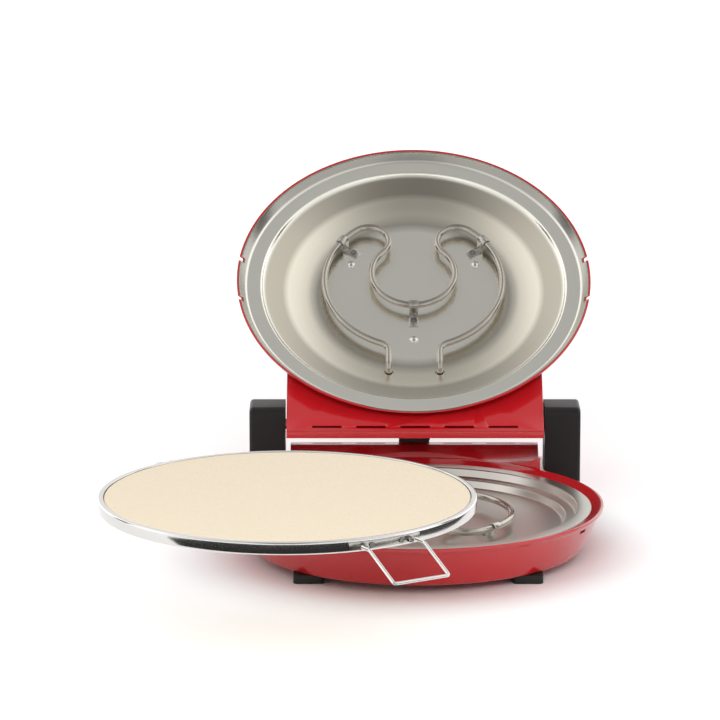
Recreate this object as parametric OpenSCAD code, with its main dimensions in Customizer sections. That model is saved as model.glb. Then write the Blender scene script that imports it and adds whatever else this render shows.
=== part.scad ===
/* [Base] */
// Outer radius of the base and lid at their rims
rim_r = 175; // [168:1:190]
// Height of the rim above the surface that it stands on
rim_z = 47.5; // [44:0.5:60]
// Underside of the base shell above that surface
base_z = 8; // [6:0.5:11]
// Radius of the base shell near its underside
base_low_r = 158; // [150:1:162]
// Wall of the pressed shells
shell_t = 1.2; // [0.8:0.1:1.6]
// Wall of the steel liners
liner_t = 0.8; // [0.6:0.1:1.2]
// How far the lip stands above the seat of the stone
lip_h = 3.2; // [2.5:0.1:3.4]
// Depth of the liner floor below the rim
floor_d = 18.5; // [17:0.5:22]

/* [Rear housing and posts] */
// Half width of the housing between the posts
housing_w = 125.5; // [120:0.5:130]
// Rear face of the housing
housing_y = 196; // [192:1:210]
// Height of the housing top above the rim
housing_h = 10.5; // [10:0.5:13.4]
// Width of a hinge post
post_w = 34.5; // [28:0.5:40]
// Depth of a hinge post
post_d = 48; // [42:1:56]
// Height of a hinge post above the rim
post_h = 58.5; // [54:0.5:72]

/* [Lid] */
// Height of the lid above its rim
lid_h = 48; // [46:1:56]
// Height of the rear panel above the lid rim
panel_h = 13.9; // [13.7:0.1:15]
// Rear edge of the panel with the lid shut
panel_y = 187; // [182:0.5:187]
// Height of the lid liner's outer flange above the lid rim
flange_h = 9; // [8.6:0.1:10]
// Height of the lid liner's flat above the lid rim
flat_h = 26; // [24:0.5:28]
// Distance of the hinge axis behind the centre
hinge_y = 158; // [154:1:162]
// Height of the hinge axis above the rim
hinge_h = 37.8; // [36:0.2:39]
// Radius of the hinge pins
pin_r = 5; // [4:0.25:5.5]
// Angle that the lid stands open
open_angle = 143.35; // [120:0.05:143.35]

/* [Heating elements] */
// Radius of the heating tube
tube_r = 3.2; // [2.8:0.1:3.4]
// Height of the tube's centre over the liner behind it
tube_stand = 10; // [9:0.5:10]
// Radius of the tube's outer bow
bow_r = 88.5; // [86:0.5:92]
// Radius of its ears
ear_r = 20; // [18:0.5:22]
// Sideways place of the ears
ear_x = 44; // [42:0.5:46]
// Sideways place of the tube's legs
leg_x = 25; // [22:0.5:28]

/* [Stone] */
// Outer radius of the stone's steel band
band_r = 161; // [158:0.5:161]
// Height of the band
band_h = 11; // [10:0.25:11]
// Gap between the band's inner edge and the stone
stone_gap = 0.4; // [0.3:0.1:1]
// Width of the band seen from above
band_w = 5; // [4:0.5:8]
// Sideways place of the stone, taken out
out_x = -114.7; // [-130:0.1:-100]
// Front to back place of the stone, taken out
out_y = -356.9; // [-380:0.1:-350]
// Height of the stone's top above the rim, taken out
out_h = 96.5; // [90:0.5:110]
// Angle of the front bracket, taken out
bracket_angle = -59; // [-75:1:-45]
// Radius of the handle wire
wire_r = 1.4; // [1:0.1:1.6]
// Half distance between the wire's legs
wire_half = 26; // [20:0.5:30]
// How far the wire reaches out from its pivot
wire_reach = 52; // [40:1:60]
// How far the wire drops from its pivot
wire_drop = 19; // [15:0.5:24]

/* [Grip and knobs] */
// Length of the grip
grip_l = 120; // [90:1:140]
// Radius of the grip bar
grip_r = 9; // [7:0.5:11]
// Distance from the lid to the grip's centre
grip_off = 33; // [30:1:40]
// Radius of the two knobs
knob_r = 16; // [13:0.5:18]
// Height of the two knobs
knob_h = 15; // [11:0.5:18]
// Sideways place of the two knobs
knob_x = 55; // [45:1:70]

/* [Hidden] */
$fn = 96;
shut_gap = 0.4;
lip_w = 11.8;
fit = 0.15;
clip_fit = 0.3;
eps = 0.01;
seat_r = rim_r - lip_w;
seat_z = rim_z - lip_h;
lip_top_w = 2;
base_floor = rim_z - floor_d;
lower_tube_z = base_floor + tube_stand;
pivot = [0, hinge_y, rim_z + hinge_h];
well_r = rim_r - 25;
step_r = rim_r - 36;
box_half = housing_w - 4.5;
panel_w = housing_w - 1.5;
box_face_r = rim_r + 2.5;
foot_size = [28, 22];
foot_at = [[-100, -108], [100, -108], [-100, 178], [100, 178]];
slot_l = 29;
slot_w = 2.6;
slot_pitch = 42.5;
slot_inset = 5;
box_slot_inset = 4.6;
lid_slope = 0.95;
skirt_h = 2;
crown_r = rim_r - 53;
lid_wall = 1.6;
dome_r = rim_r - 25.6;
flat_r = bow_r + 5.5;
dome_steps = [0.325, 0.65];
wing_y = 90;
wing_lean = 27.5;
panel_flare = [4.2, 6.3];
loop_at = [0, -19];
ear_y = -62;
leg_r = 12;
leg_end = 104;
leg_turn = 8;
lower_leg = 16;
upper_leg = 14;
ear_dist = norm([ear_x, ear_y - loop_at.y]);
loop_r = ear_dist - ear_r;
bow_y = ear_y + sqrt(pow(bow_r - ear_r, 2) - pow(ear_x, 2));
leg_bend_x = leg_x + leg_r;
leg_bend_y = bow_y + sqrt(pow(bow_r + leg_r, 2) - pow(leg_bend_x, 2));
clip_w = 9;
clip_t = 1.2;
clip_reach = 20;
clip_spot = [bow_r * cos(-37), bow_y + bow_r * sin(-37)];
rivet_at = [[-62, -40], [62, -40], [0, 60]];
stone_z = rim_z + out_h - band_h;
bracket_half = 12;
bracket_t = 1.2;
ear_u = band_r + 3.5;
ear_w = 6;
crank_u = band_r + 17;
knob_y = 112;
pilot_y = 135;
plate_t = 1.2;
plate_r = 128;
plate_half = 70;
gland_r = 3.7;
gland_at = [37.5 - housing_w, 26];
post_screw_y = hinge_y + 8;
post_screw_z = [18, 32];
post_screw_r = 1.7;
post_screw_l = 12;
post_corner = 8;
clip_screw_u = 14;
screw_r = 1.6;
sleeve_half = 15;
sleeve_t = 7;
sleeve_path = [[-2.2, -1], [6, 1], [8.5, 9], [3, 18], [-8, 23], [-20, 23.5], [-31, 21.5],
    [-38.5, 25], [-43.5, 33]];
notch_half = wire_r + 1.6;
notch_h = 5.2;
swing_r = hinge_h - 0.2;
grip_h = 30;
grip_leg_x = 46;
grip_screw_r = 2;
grip_head = -2.8;
grip_screw_l = 12;
rivet_angle = 5;
box_wall = 1.6;
box_from = 40;
box_step = 4;
vent_angle = 27;
vent_w = 12;
vent_drop = 10.5;
vent_slit = 3.2;
steel = [0.86, 0.85, 0.82];
red = [0.62, 0.1, 0.11];
black = [0.13, 0.12, 0.12];
stone_colour = [0.96, 0.9, 0.81];

// A solid of revolution from [radius, height] points
module turned(points) {
    rotate_extrude() polygon(points);
}

// Directions along a path, from each point's neighbours
function dirs_of(path) = [for (i = [0:len(path) - 1]) let (
    d = path[min(i + 1, len(path) - 1)] - path[max(i - 1, 0)]) d / norm(d)];

// Side vectors carried along a path without twist
function sides_of(dirs, i, s) = i == len(dirs) ? [] :
    let (v = s - (s * dirs[i]) * dirs[i], u = v / norm(v)) concat([u], sides_of(dirs, i + 1, u));

// Corners eased by short curves that start a given distance before each
function eased(corners, reach, steps) = concat([corners[0]],
    [for (i = [1:len(corners) - 2]) let (
        a = corners[i] + reach * (corners[i - 1] - corners[i]) / norm(corners[i - 1] - corners[i]),
        b = corners[i] + reach * (corners[i + 1] - corners[i]) / norm(corners[i + 1] - corners[i]))
        for (k = [0:steps]) let (t = k / steps)
            (1 - t) * (1 - t) * a + 2 * t * (1 - t) * corners[i] + t * t * b],
    [corners[len(corners) - 1]]);

// Points of a flat arc, at height zero
function arc_points(at, r, a0, a1, steps) = [for (k = [0:steps - 1])
    let (a = a0 + (a1 - a0) * k / steps) [at.x + r * cos(a), at.y + r * sin(a), 0]];

// A round tube along a path; first_side is square to its first direction
module swept(path, r, sides, first_side) {
    d = dirs_of(path);
    s = sides_of(d, 0, first_side);
    n = len(path);
    points = [for (i = [0:n - 1]) for (k = [0:sides - 1]) let (a = 360 * (k + 0.5) / sides)
        path[i] + r * (cos(a) * s[i] + sin(a) * cross(d[i], s[i]))];
    walls = [for (i = [0:n - 2]) for (k = [0:sides - 1]) let (
        a = i * sides + k, b = i * sides + (k + 1) % sides) each [
            [a, b, b + sides], [a, b + sides, a + sides]]];
    caps = [[for (k = [sides - 1:-1:0]) k], [for (k = [0:sides - 1]) (n - 1) * sides + k]];
    polyhedron(points = points, faces = concat([for (f = walls) [f[0], f[2], f[1]]],
        [for (f = caps) [for (k = [len(f) - 1:-1:0]) f[k]]]), convexity = 6);
}

// One row of five round-ended slots along X
module slot_row(y, z, h) {
    for (i = [-2:2]) translate([i * slot_pitch, y, z]) {
        translate([-slot_l / 2 + slot_w / 2, -slot_w / 2, 0])
            cube([slot_l - slot_w, slot_w, h]);
        for (s = [-1, 1]) translate([s * (slot_l - slot_w) / 2, 0, 0])
            cylinder(d = slot_w, h = h, $fn = 24);
    }
}

// Turns a lid piece, drawn shut, to its open rest pose
module opened() {
    translate(pivot) rotate([-open_angle, 0, 0]) translate(-pivot)
        translate([0, 0, rim_z]) children();
}

// Half of the heating tube's path: up a leg, round the bow and ear, and to the loop's middle
function half_path(leg) = let (join = atan2(ear_y - loop_at.y, ear_x), bow = atan2(ear_y - bow_y, ear_x),
    bend = atan2(leg_bend_y - bow_y, leg_bend_x)) concat(
        [[leg_x, leg_end, -leg_turn - leg]],
        [for (a = [0:18:90]) [leg_x, leg_end - leg_turn * (1 - cos(a)), -leg_turn * (1 - sin(a))]],
        arc_points([leg_bend_x, leg_bend_y], leg_r, 180, 180 + bend, 4),
        arc_points([0, bow_y], bow_r, bend, bow, 20),
        arc_points([ear_x, ear_y], ear_r, bow, -180 + join, 9),
        arc_points(loop_at, loop_r, join, 90, 12));

function mirrored(path) = [for (i = [len(path) - 1:-1:0]) [-path[i].x, path[i].y, path[i].z]];

// The heating tube, drawn flat with its legs to the rear
module element(leg) {
    half = half_path(leg);
    swept(concat(half, [[loop_at.x, loop_at.y + loop_r, 0]], mirrored(half)), tube_r, 12, [1, 0, 0]);
}

// A strap that hooks over the tube and is screwed down beside it
module clip() {
    hook_r = tube_r + clip_fit;
    rotate([90, 0, 0]) translate([0, 0, -clip_w / 2]) linear_extrude(clip_w) difference() {
        union() {
            translate([0, tube_stand]) circle(r = hook_r + clip_t, $fn = 48);
            translate([hook_r, 0]) square([clip_t, tube_stand]);
            translate([hook_r, 0]) square([clip_reach - hook_r, clip_t]);
        }
        translate([0, tube_stand]) circle(r = hook_r, $fn = 48);
        translate([-hook_r - clip_t - 1, tube_stand - hook_r - clip_t - 1])
            square([2 * hook_r + clip_t + 1, hook_r + clip_t + 1]);
    }
}

// Places a strap at one of the three places, on the plane z = 0
module at_clip(i) {
    if (i == 0) translate([-clip_spot.x, clip_spot.y, 0]) rotate([0, 0, 37]) children();
    if (i == 1) translate([clip_spot.x, clip_spot.y, 0]) rotate([0, 0, 180 - 37]) children();
    if (i == 2) translate([0, loop_at.y + loop_r, 0]) rotate([0, 0, 90]) children();
}

module drilled_clip(i) {
    at_clip(i) difference() {
        clip();
        translate([clip_screw_u, 0, -1]) cylinder(r = screw_r, h = 4, $fn = 24);
    }
}

module clip_screws() {
    for (i = [0:2]) at_clip(i) translate([clip_screw_u, 0, 0]) {
        translate([0, 0, -5]) cylinder(r = screw_r - 0.05, h = 5 + clip_t, $fn = 24);
        translate([0, 0, clip_t]) cylinder(r = 3.2, h = 1.6, $fn = 32);
    }
}

// Low domed rivet heads with shanks through the liner
module rivets() {
    for (p = rivet_at) translate([p.x, p.y, 0]) {
        rotate_extrude($fn = 32)
            polygon([[0, -4], [1.5, -4], [1.5, 0], [4.4, 0], [4, 1], [2.6, 1.9], [0, 2.3]]);
    }
}

// Holes of the liner for legs, screws and rivets
module liner_holes(z, h) {
    for (s = [-1, 1]) translate([s * leg_x, leg_end, z]) cylinder(r = tube_r + 1.2, h = h, $fn = 32);
    for (i = [0:2]) at_clip(i) translate([clip_screw_u, 0, z]) cylinder(r = screw_r, h = h, $fn = 24);
    for (p = rivet_at) translate([p.x, p.y, z]) cylinder(r = 1.55, h = h, $fn = 24);
}

// Ceramic bushes on the tube's legs, under the liner
module terminals(top) {
    for (s = [-1, 1]) translate([s * leg_x, leg_end, top - 7]) difference() {
        cylinder(r = 6.5, h = 7, $fn = 32);
        translate([0, 0, -1]) cylinder(r = tube_r + 0.1, h = 9, $fn = 32);
    }
}

module base_shell() {
    t = shell_t;
    lip_in = rim_r - lip_top_w;
    color(red) difference() {
        turned([
        [seat_r - 5, seat_z - liner_t], [seat_r, seat_z - liner_t], [seat_r + 0.2, seat_z],
        [lip_in, rim_z], [rim_r - 0.6, rim_z], [rim_r, rim_z - 0.6], [rim_r, rim_z - 3],
        [rim_r - 3.4, rim_z - 6], [base_low_r + 0.4, base_z + 5.5],
        [base_low_r - 1.6, base_z + 1.6], [base_low_r - 4.4, base_z], [120, base_z],
        [120, base_z + t], [base_low_r - 4.8, base_z + t], [base_low_r - 2.7, base_z + 2.4],
        [base_low_r - 0.8, base_z + 6], [rim_r - 4.6, rim_z - 5.4], [rim_r - t, rim_z - 2.4],
        [rim_r - t, rim_z - t], [lip_in - 0.2, rim_z - t], [seat_r + 0.4, seat_z - t - liner_t],
        [seat_r - 5, seat_z - t - liner_t]]);
        for (a = [-vent_angle, 180 + vent_angle]) rotate([0, 0, a])
            translate([well_r + 3, -vent_w / 2, rim_z - vent_drop])
                cube([rim_r - well_r, vent_w, vent_slit]);
    }
}

module base_liner() {
    t = liner_t;
    color(steel) difference() {
        turned([
            [0, base_floor], [step_r - 4, base_floor], [step_r - 2.5, base_floor + 0.6],
            [step_r, base_floor + 6.5], [step_r + 1, base_floor + 7.2],
            [well_r - 3, base_floor + 7.2], [well_r - 1.6, base_floor + 8],
            [well_r, seat_z - 0.8], [well_r + 1, seat_z], [seat_r, seat_z],
            [seat_r, seat_z - t], [well_r + 1.4, seat_z - t], [well_r + 0.8, seat_z - 1.2],
            [well_r - 0.8, base_floor + 7.4], [well_r - 2.6, base_floor + 7.2 - t],
            [step_r + 1.4, base_floor + 7.2 - t], [step_r + 0.7, base_floor + 6],
            [step_r - 1.8, base_floor], [step_r - 3.6, base_floor - t], [0, base_floor - t]]);
        liner_holes(base_floor - 2, 4);
    }
}

module bottom_plate() {
    color(steel) difference() {
        union() {
            translate([0, 0, base_z - plate_t]) cylinder(r = plate_r, h = plate_t);
            translate([-plate_half, 0, base_z - plate_t])
                cube([2 * plate_half, housing_y - 6, plate_t]);
        }
        for (i = [-3:3]) translate([i * 14, 0, base_z - 3]) {
            translate([-2, -25, 0]) cube([4, 50, 6]);
        }
    }
}

// The box's outline, wide below and stepped in beside the posts, with its walls moved in by t
module box_form(t) {
    y = t > 0 ? 0 : box_from;
    translate([-housing_w + t, y, base_z + t])
        cube([2 * (housing_w - t), housing_y - t - y, rim_z - box_step - base_z - 2 * t]);
    translate([-box_half + t, y, base_z + t])
        cube([2 * (box_half - t), housing_y - t - y, rim_z + housing_h - base_z - 2 * t]);
}

// The trough that the lid's rear edge swings through, its wall t thick
module trough(t) {
    translate([-housing_w - 1, pivot.y, pivot.z]) rotate([0, 90, 0])
        cylinder(r = swing_r + 0.4 + t, h = 2 * housing_w + 2, $fn = 180);
}

// The box behind the bowl that joins the posts and takes the wires in
module rear_housing() {
    t = box_wall;
    color(red) difference() {
        box_form(0);
        translate([0, 0, base_z - 1]) cylinder(r = rim_r + 1, h = rim_z - base_z + 1);
        translate([0, 0, rim_z - eps]) cylinder(r = box_face_r, h = 40);
        trough(0);
        difference() {
            box_form(t);
            trough(t);
            difference() {
                translate([0, 0, rim_z - 8]) cylinder(r = box_face_r + t, h = 60);
                translate([0, 0, rim_z - 9]) cylinder(r = rim_r + 1, h = 8);
            }
        }
        slot_row(housing_y - box_slot_inset, rim_z + housing_h - 4, 8);
        translate([gland_at.x, housing_y - 5, gland_at.y]) rotate([-90, 0, 0])
            cylinder(r = gland_r + 3, h = 10, $fn = 48);
        translate([-sleeve_half - 0.3, housing_y - 5, rim_z - 1 - sleeve_t / 2 - 0.9])
            cube([2 * sleeve_half + 0.6, 10, sleeve_t + 1.8]);
        for (s = [-1, 1]) for (z = post_screw_z)
            translate([s * housing_w, post_screw_y, z]) rotate([0, 90, 0])
                cylinder(r = post_screw_r + 0.05, h = 12, center = true, $fn = 24);
    }
}

module foot(i) {
    h = base_z;
    color(black) translate([foot_at[i].x, foot_at[i].y, 0]) difference() {
        linear_extrude(h) union() {
            square([foot_size.x - 8, foot_size.y], center = true);
            square([foot_size.x, foot_size.y - 8], center = true);
            for (a = [-1, 1]) for (b = [-1, 1])
                translate([a * (foot_size.x / 2 - 4), b * (foot_size.y / 2 - 4)]) circle(r = 4, $fn = 32);
        }
        translate([0, 0, -1]) cylinder(r = 4, h = 4, $fn = 32);
        translate([0, 0, 2]) cylinder(r = 1.8, h = h, $fn = 24);
    }
}

module foot_screws() {
    color(steel) for (p = foot_at) translate([p.x, p.y, 0]) {
        translate([0, 0, 1.2]) cylinder(r = 3.4, h = 1.8, $fn = 32);
        translate([0, 0, 3]) cylinder(r = 1.7, h = base_z - 3, $fn = 24);
    }
}

// A black moulded post with a rounded head and a blind bore for the hinge pin
module hinge_post(side) {
    h = rim_z + post_h - base_z;
    c = post_corner;
    color(black) mirror([side < 0 ? 1 : 0, 0, 0]) difference() {
        translate([housing_w, hinge_y, base_z]) rotate([90, 0, 90]) linear_extrude(post_w) union() {
            translate([-post_d / 2, 0]) square([post_d, h - c]);
            translate([-post_d / 2 + c, 0]) square([post_d - 2 * c, h]);
            for (s = [-1, 1]) translate([s * (post_d / 2 - c), h - c]) circle(r = c, $fn = 48);
        }
        translate([housing_w - 1, pivot.y, pivot.z]) rotate([0, 90, 0])
            cylinder(r = pin_r + fit, h = 27, $fn = 64);
        for (z = post_screw_z) translate([housing_w - 1, post_screw_y, z]) rotate([0, 90, 0])
            cylinder(r = post_screw_r + 0.05, h = post_screw_l + 1, $fn = 24);
        translate([housing_w + 4, hinge_y - post_d / 2 + 4, base_z - 1])
            cube([post_w - 8, post_d - 8, 8]);
    }
}

module post_screws() {
    color(steel) for (s = [-1, 1]) mirror([s < 0 ? 1 : 0, 0, 0]) for (z = post_screw_z)
        translate([housing_w - 1.6, post_screw_y, z]) rotate([0, 90, 0]) {
            cylinder(r = post_screw_r, h = post_screw_l, $fn = 24);
            translate([0, 0, -1.8]) cylinder(r = 3.4, h = 1.8, $fn = 32);
        }
}

module lower_element() {
    color([0.25, 0.24, 0.23]) translate([0, 0, lower_tube_z]) element(lower_leg);
}

module terminal_block() {
    color([0.9, 0.88, 0.8]) translate([30, 150, base_z + 1.6]) difference() {
        translate([0, 25, 0]) cube([44, 15, 12]);
        for (i = [0:2]) translate([9 + i * 13, 32.5, 4]) cylinder(r = 2.6, h = 9, $fn = 24);
    }
}

// The bush that the supply lead enters through
module cord_gland() {
    color(black) translate([gland_at.x, housing_y, gland_at.y]) rotate([-90, 0, 0]) difference() {
        union() {
            translate([0, 0, -4]) cylinder(r = gland_r + 2.9, h = 6, $fn = 48);
            cylinder(r = gland_r + 5, h = 3, $fn = 48);
        }
        translate([0, 0, -5]) cylinder(r = gland_r, h = 10, $fn = 48);
    }
}

// Outline of the sleeve seen from the side, one side of its path after the other
function side_of(i) = let (a = sleeve_path[max(i - 1, 0)],
    b = sleeve_path[min(i + 1, len(sleeve_path) - 1)], d = (b - a) / norm(b - a)) [-d.y, d.x];

// The flexible sleeve that carries the wires from the housing to the lid
module wiring_sleeve() {
    n = len(sleeve_path);
    a = [for (i = [0:n - 1]) sleeve_path[i] + side_of(i) * sleeve_t / 2];
    b = [for (i = [n - 1:-1:0]) sleeve_path[i] - side_of(i) * sleeve_t / 2];
    color(black) translate([-sleeve_half, housing_y, rim_z]) rotate([90, 0, 90])
        linear_extrude(2 * sleeve_half) polygon(concat(a, b));
}

// Radius of the lid's outside at a height above its rim
function lid_r(h) = rim_r - lid_slope * (h - skirt_h);

module lid_body(inset, top) {
    turned([
        [0, shut_gap - inset], [rim_r - inset, shut_gap - inset], [rim_r - inset, skirt_h],
        [lid_r(lid_h - 6) - inset, lid_h - 6], [crown_r + 6 - inset, lid_h - 1.6 - top],
        [crown_r - inset, lid_h - top], [0, lid_h - top]]);
}

// The rear part of the lid, from side to side, with a lip over the panel's edge and a sloping back
module lid_wing(inset, top) {
    low = panel_h + plate_t - (inset > 0 ? 1 : 0);
    translate([-panel_w + inset, 0, 0]) rotate([90, 0, 90]) linear_extrude(2 * (panel_w - inset))
        polygon([[wing_y + inset, low], [panel_y - 1.8 * inset, low],
            [panel_y + panel_flare.x - 1.4 * inset, panel_h + panel_flare.y],
            [panel_y - wing_lean - 0.45 * inset, lid_h - top], [wing_y + inset, lid_h - top]]);
}

// Notches in the lid's edge that the legs of the stone's handles pass through
module notches() {
    for (s = [-1, 1]) for (t = [-1, 1])
        translate([s * rim_r - 10, t * wire_half - notch_half, -1]) cube([20, 2 * notch_half, notch_h + 1]);
}

// Where the grip's legs stand on the lid's slope, and the direction square to it
grip_foot = [0, -sqrt(pow(lid_r(grip_h), 2) - pow(grip_leg_x, 2)), grip_h];
grip_tilt = atan2(1, lid_slope);
grip_dir = [0, -sin(grip_tilt), cos(grip_tilt)];

// What the lid's rear edge loses so that it can swing down past the base's rim
module swing_relief() {
    difference() {
        translate([-rim_r, hinge_y, -1]) cube([2 * rim_r, 60, panel_h]);
        translate([-rim_r - 1, hinge_y, hinge_h]) rotate([0, 90, 0])
            cylinder(r = swing_r, h = 2 * rim_r + 2, $fn = 180);
    }
}

module lid_shell() {
    color(red) opened() difference() {
        union() {
            difference() {
                union() {
                    lid_body(0, 0);
                    lid_wing(0, 0);
                }
                lid_body(lid_wall, shell_t);
                lid_wing(lid_wall, shell_t);
            }
            for (s = [-1, 1]) translate([s * (panel_w - 5), hinge_y, hinge_h]) rotate([0, 90, 0])
                cylinder(r = 8, h = 9.9, center = true, $fn = 48);
        }
        for (s = [-1, 1]) translate([s * panel_w, hinge_y, hinge_h]) rotate([0, 90, 0])
            cylinder(r = pin_r + 0.05, h = 30, center = true, $fn = 64);
        notches();
        swing_relief();
        for (s = [-1, 1]) translate([s * knob_x, knob_y, lid_h - 5]) cylinder(r = 4.2, h = 8, $fn = 32);
        for (s = [-1, 1]) translate([s * 14, pilot_y, lid_h - 5]) cylinder(r = 3.6, h = 8, $fn = 32);
        for (s = [-1, 1]) translate([s * grip_leg_x, grip_foot.y, grip_foot.z])
            rotate([grip_tilt, 0, 0]) cylinder(r = grip_screw_r + 0.1, h = 14, center = true, $fn = 24);
        translate([-sleeve_half - 0.3, hinge_y, lid_h - 13]) cube([2 * sleeve_half + 0.6, 18, 11.4]);
    }
}

// Radius of a corner between the liner's flat and its dome's edge
function dome_step(i) = flat_r + dome_steps[i] * (dome_r - flat_r);

module lid_liner() {
    t = liner_t;
    g = lid_wall + 0.1;
    color(steel) opened() difference() {
        turned([
            [0, flat_h + t], [flat_r, flat_h + t], [dome_step(0), flat_h - 2.2],
            [dome_step(1), flat_h - 7], [dome_r, flange_h + 3 + t],
            [dome_r + 2.2, flange_h + t], [lid_r(flange_h + t) - g, flange_h + t],
            [rim_r - g, skirt_h], [rim_r - g, 0.8], [rim_r - g - t, 0.8],
            [rim_r - g - t, skirt_h], [lid_r(flange_h) - g - t, flange_h],
            [dome_r + 1.6, flange_h], [dome_r - 0.6, flange_h + 3],
            [dome_step(1), flat_h - 8], [dome_step(0), flat_h - 3.1], [flat_r, flat_h],
            [0, flat_h]]);
        liner_holes_up();
        notches();
        swing_relief();
    }
}

// The liner's holes in the lid, where the tube hangs below the flat
module liner_holes_up() {
    translate([0, 0, flat_h]) mirror([0, 0, 1]) liner_holes(-2, 9);
}

module lid_rear_panel() {
    color(red) opened() difference() {
        translate([-panel_w, 70, panel_h]) cube([2 * panel_w, panel_y - 70, plate_t]);
        translate([0, 0, panel_h - 1]) cylinder(r = lid_r(panel_h) + 0.3, h = 4);
        slot_row(panel_y - slot_inset, panel_h - 2, 6);
    }
}

module hinge_pin(side) {
    color(steel) opened() mirror([side < 0 ? 1 : 0, 0, 0])
        translate([panel_w - 16, hinge_y, hinge_h]) rotate([0, 90, 0]) {
            cylinder(r = pin_r, h = 16 + housing_w - panel_w + 24, $fn = 64);
            cylinder(r = pin_r + 1, h = 5, $fn = 48);
        }
}

// Puts a piece drawn for the base liner onto the lid liner's flat
module on_lid_flat() {
    opened() translate([0, 0, flat_h]) mirror([0, 0, 1]) children();
}

module upper_element() {
    color([0.3, 0.29, 0.28]) on_lid_flat() translate([0, 0, tube_stand]) element(upper_leg);
}

// A bar across two legs that stand on the lid's slope
module grip() {
    a = grip_tilt;
    color(black) opened() difference() {
        union() {
            translate([-grip_l / 2, grip_foot.y, grip_foot.z] + grip_off * grip_dir) {
                rotate([0, 90, 0]) cylinder(r = grip_r, h = grip_l, $fn = 64);
                for (s = [0, 1]) translate([s * grip_l, 0, 0]) sphere(r = grip_r, $fn = 64);
            }
            for (s = [-1, 1]) translate([s * grip_leg_x, grip_foot.y, grip_foot.z]) rotate([a, 0, 0]) {
                translate([0, 0, -6]) cylinder(r = 7.5, h = grip_off + 6, $fn = 48);
                translate([0, 0, -6]) cylinder(r = 11, h = 10, $fn = 48);
            }
        }
        lid_body(0, 0);
        for (s = [-1, 1]) translate([s * grip_leg_x, grip_foot.y, grip_foot.z]) rotate([a, 0, 0])
            translate([0, 0, -8]) cylinder(r = grip_screw_r + 0.1, h = grip_screw_l + 10, $fn = 24);
    }
}

module grip_screws() {
    a = grip_tilt;
    color(steel) opened() for (s = [-1, 1])
        translate([s * grip_leg_x, grip_foot.y, grip_foot.z]) rotate([a, 0, 0]) {
            translate([0, 0, grip_head]) cylinder(r = grip_screw_r, h = grip_screw_l - grip_head, $fn = 24);
            translate([0, 0, grip_head - 2]) cylinder(r = 4, h = 2, $fn = 32);
        }
}

// A control under the lid's top with its spindle through the shell
module control(side, size) {
    opened() translate([side * knob_x, knob_y, lid_h]) {
        translate([0, 0, -shell_t - size.z / 2]) cube(size, center = true);
        translate([0, 0, -shell_t]) cylinder(r = 4, h = shell_t + 1, $fn = 32);
        translate([0, 0, 1]) cylinder(r = 3, h = 7, $fn = 32);
    }
}

module thermostat() {
    color([0.75, 0.74, 0.7]) control(-1, [34, 30, 15]);
}

module timer() {
    color([0.8, 0.79, 0.75]) control(1, [40, 34, 17]);
}

module knob(side) {
    color(black) opened() translate([side * knob_x, knob_y, lid_h + 0.5]) difference() {
        union() {
            turned([[0, 0], [knob_r, 0], [knob_r, 3], [knob_r - 1.5, 4.5], [knob_r - 3, knob_h - 1],
                [knob_r - 4.5, knob_h], [0, knob_h]]);
            translate([-2, -knob_r + 1, knob_h - 1]) cube([4, 2 * knob_r - 8, 2.5]);
        }
        translate([0, 0, -1]) cylinder(r = 4.3, h = 2, $fn = 32);
        translate([0, 0, -1]) cylinder(r = 3 + fit, h = 9.3, $fn = 32);
    }
}

module pilot_lamps() {
    color([0.9, 0.25, 0.12]) opened() for (s = [-1, 1]) translate([s * 14, pilot_y, lid_h]) {
        translate([0, 0, -9]) cylinder(r = 3.4, h = 9, $fn = 32);
        rotate_extrude($fn = 32) polygon([[0, 0], [4.8, 0], [4.6, 1], [3.6, 1.9], [0, 2.3]]);
    }
}

// Places a piece of the stone set, drawn on its own axis with its underside at zero
module taken_out() {
    translate([out_x, out_y, stone_z]) children();
}

module pizza_stone() {
    r = band_r - band_w - stone_gap;
    color(stone_colour) taken_out()
        turned([[0, 1], [r - 0.6, 1], [r, 1.6], [r, band_h - 1.2], [r - 0.8, band_h - 0.4],
            [0, band_h - 0.4]]);
}

module stone_band() {
    t = 1.2;
    r = band_r;
    w = band_w;
    color(steel) taken_out() difference() {
        turned([
            [r - 15, 0], [r - 3, 0], [r, 0.8], [r, band_h - 0.8], [r - 0.8, band_h], [r - w, band_h],
            [r - w, band_h - t], [r - t - 0.2, band_h - t], [r - t, band_h - t - 0.2],
            [r - t, 1.6], [r - 3.2, 1], [r - 15, 1]]);
        for (a = [bracket_angle, bracket_angle + 180]) rivet_holes(a);
    }
}

module rivet_holes(a) {
    for (s = [-1, 1]) rotate([0, 0, a + s * rivet_angle]) translate([band_r - 4, 0, ear_w - 0.5])
        rotate([0, 90, 0]) cylinder(r = 1.25, h = 12, $fn = 24);
}

// The curved plate on the band with two ears for the handle wire
module bracket(a) {
    color(steel) taken_out() difference() {
        union() {
            rotate([0, 0, a - bracket_half]) rotate_extrude(angle = 2 * bracket_half)
                translate([band_r, ear_w - 3.4]) square([bracket_t, 6.4]);
            rotate([0, 0, a]) for (s = [-1, 1])
                translate([0, s * (wire_half - 4), 0]) translate([band_r - 2, -1, ear_w - 2.6])
                    cube([ear_u + 2.6 - band_r + 2, 2, 5.2]);
        }
        cylinder(r = band_r, h = 30, center = true);
        rotate([0, 0, a]) translate([ear_u, 0, ear_w]) rotate([90, 0, 0])
            cylinder(r = wire_r + fit, h = 80, center = true, $fn = 32);
        rivet_holes(a);
    }
}

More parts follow.
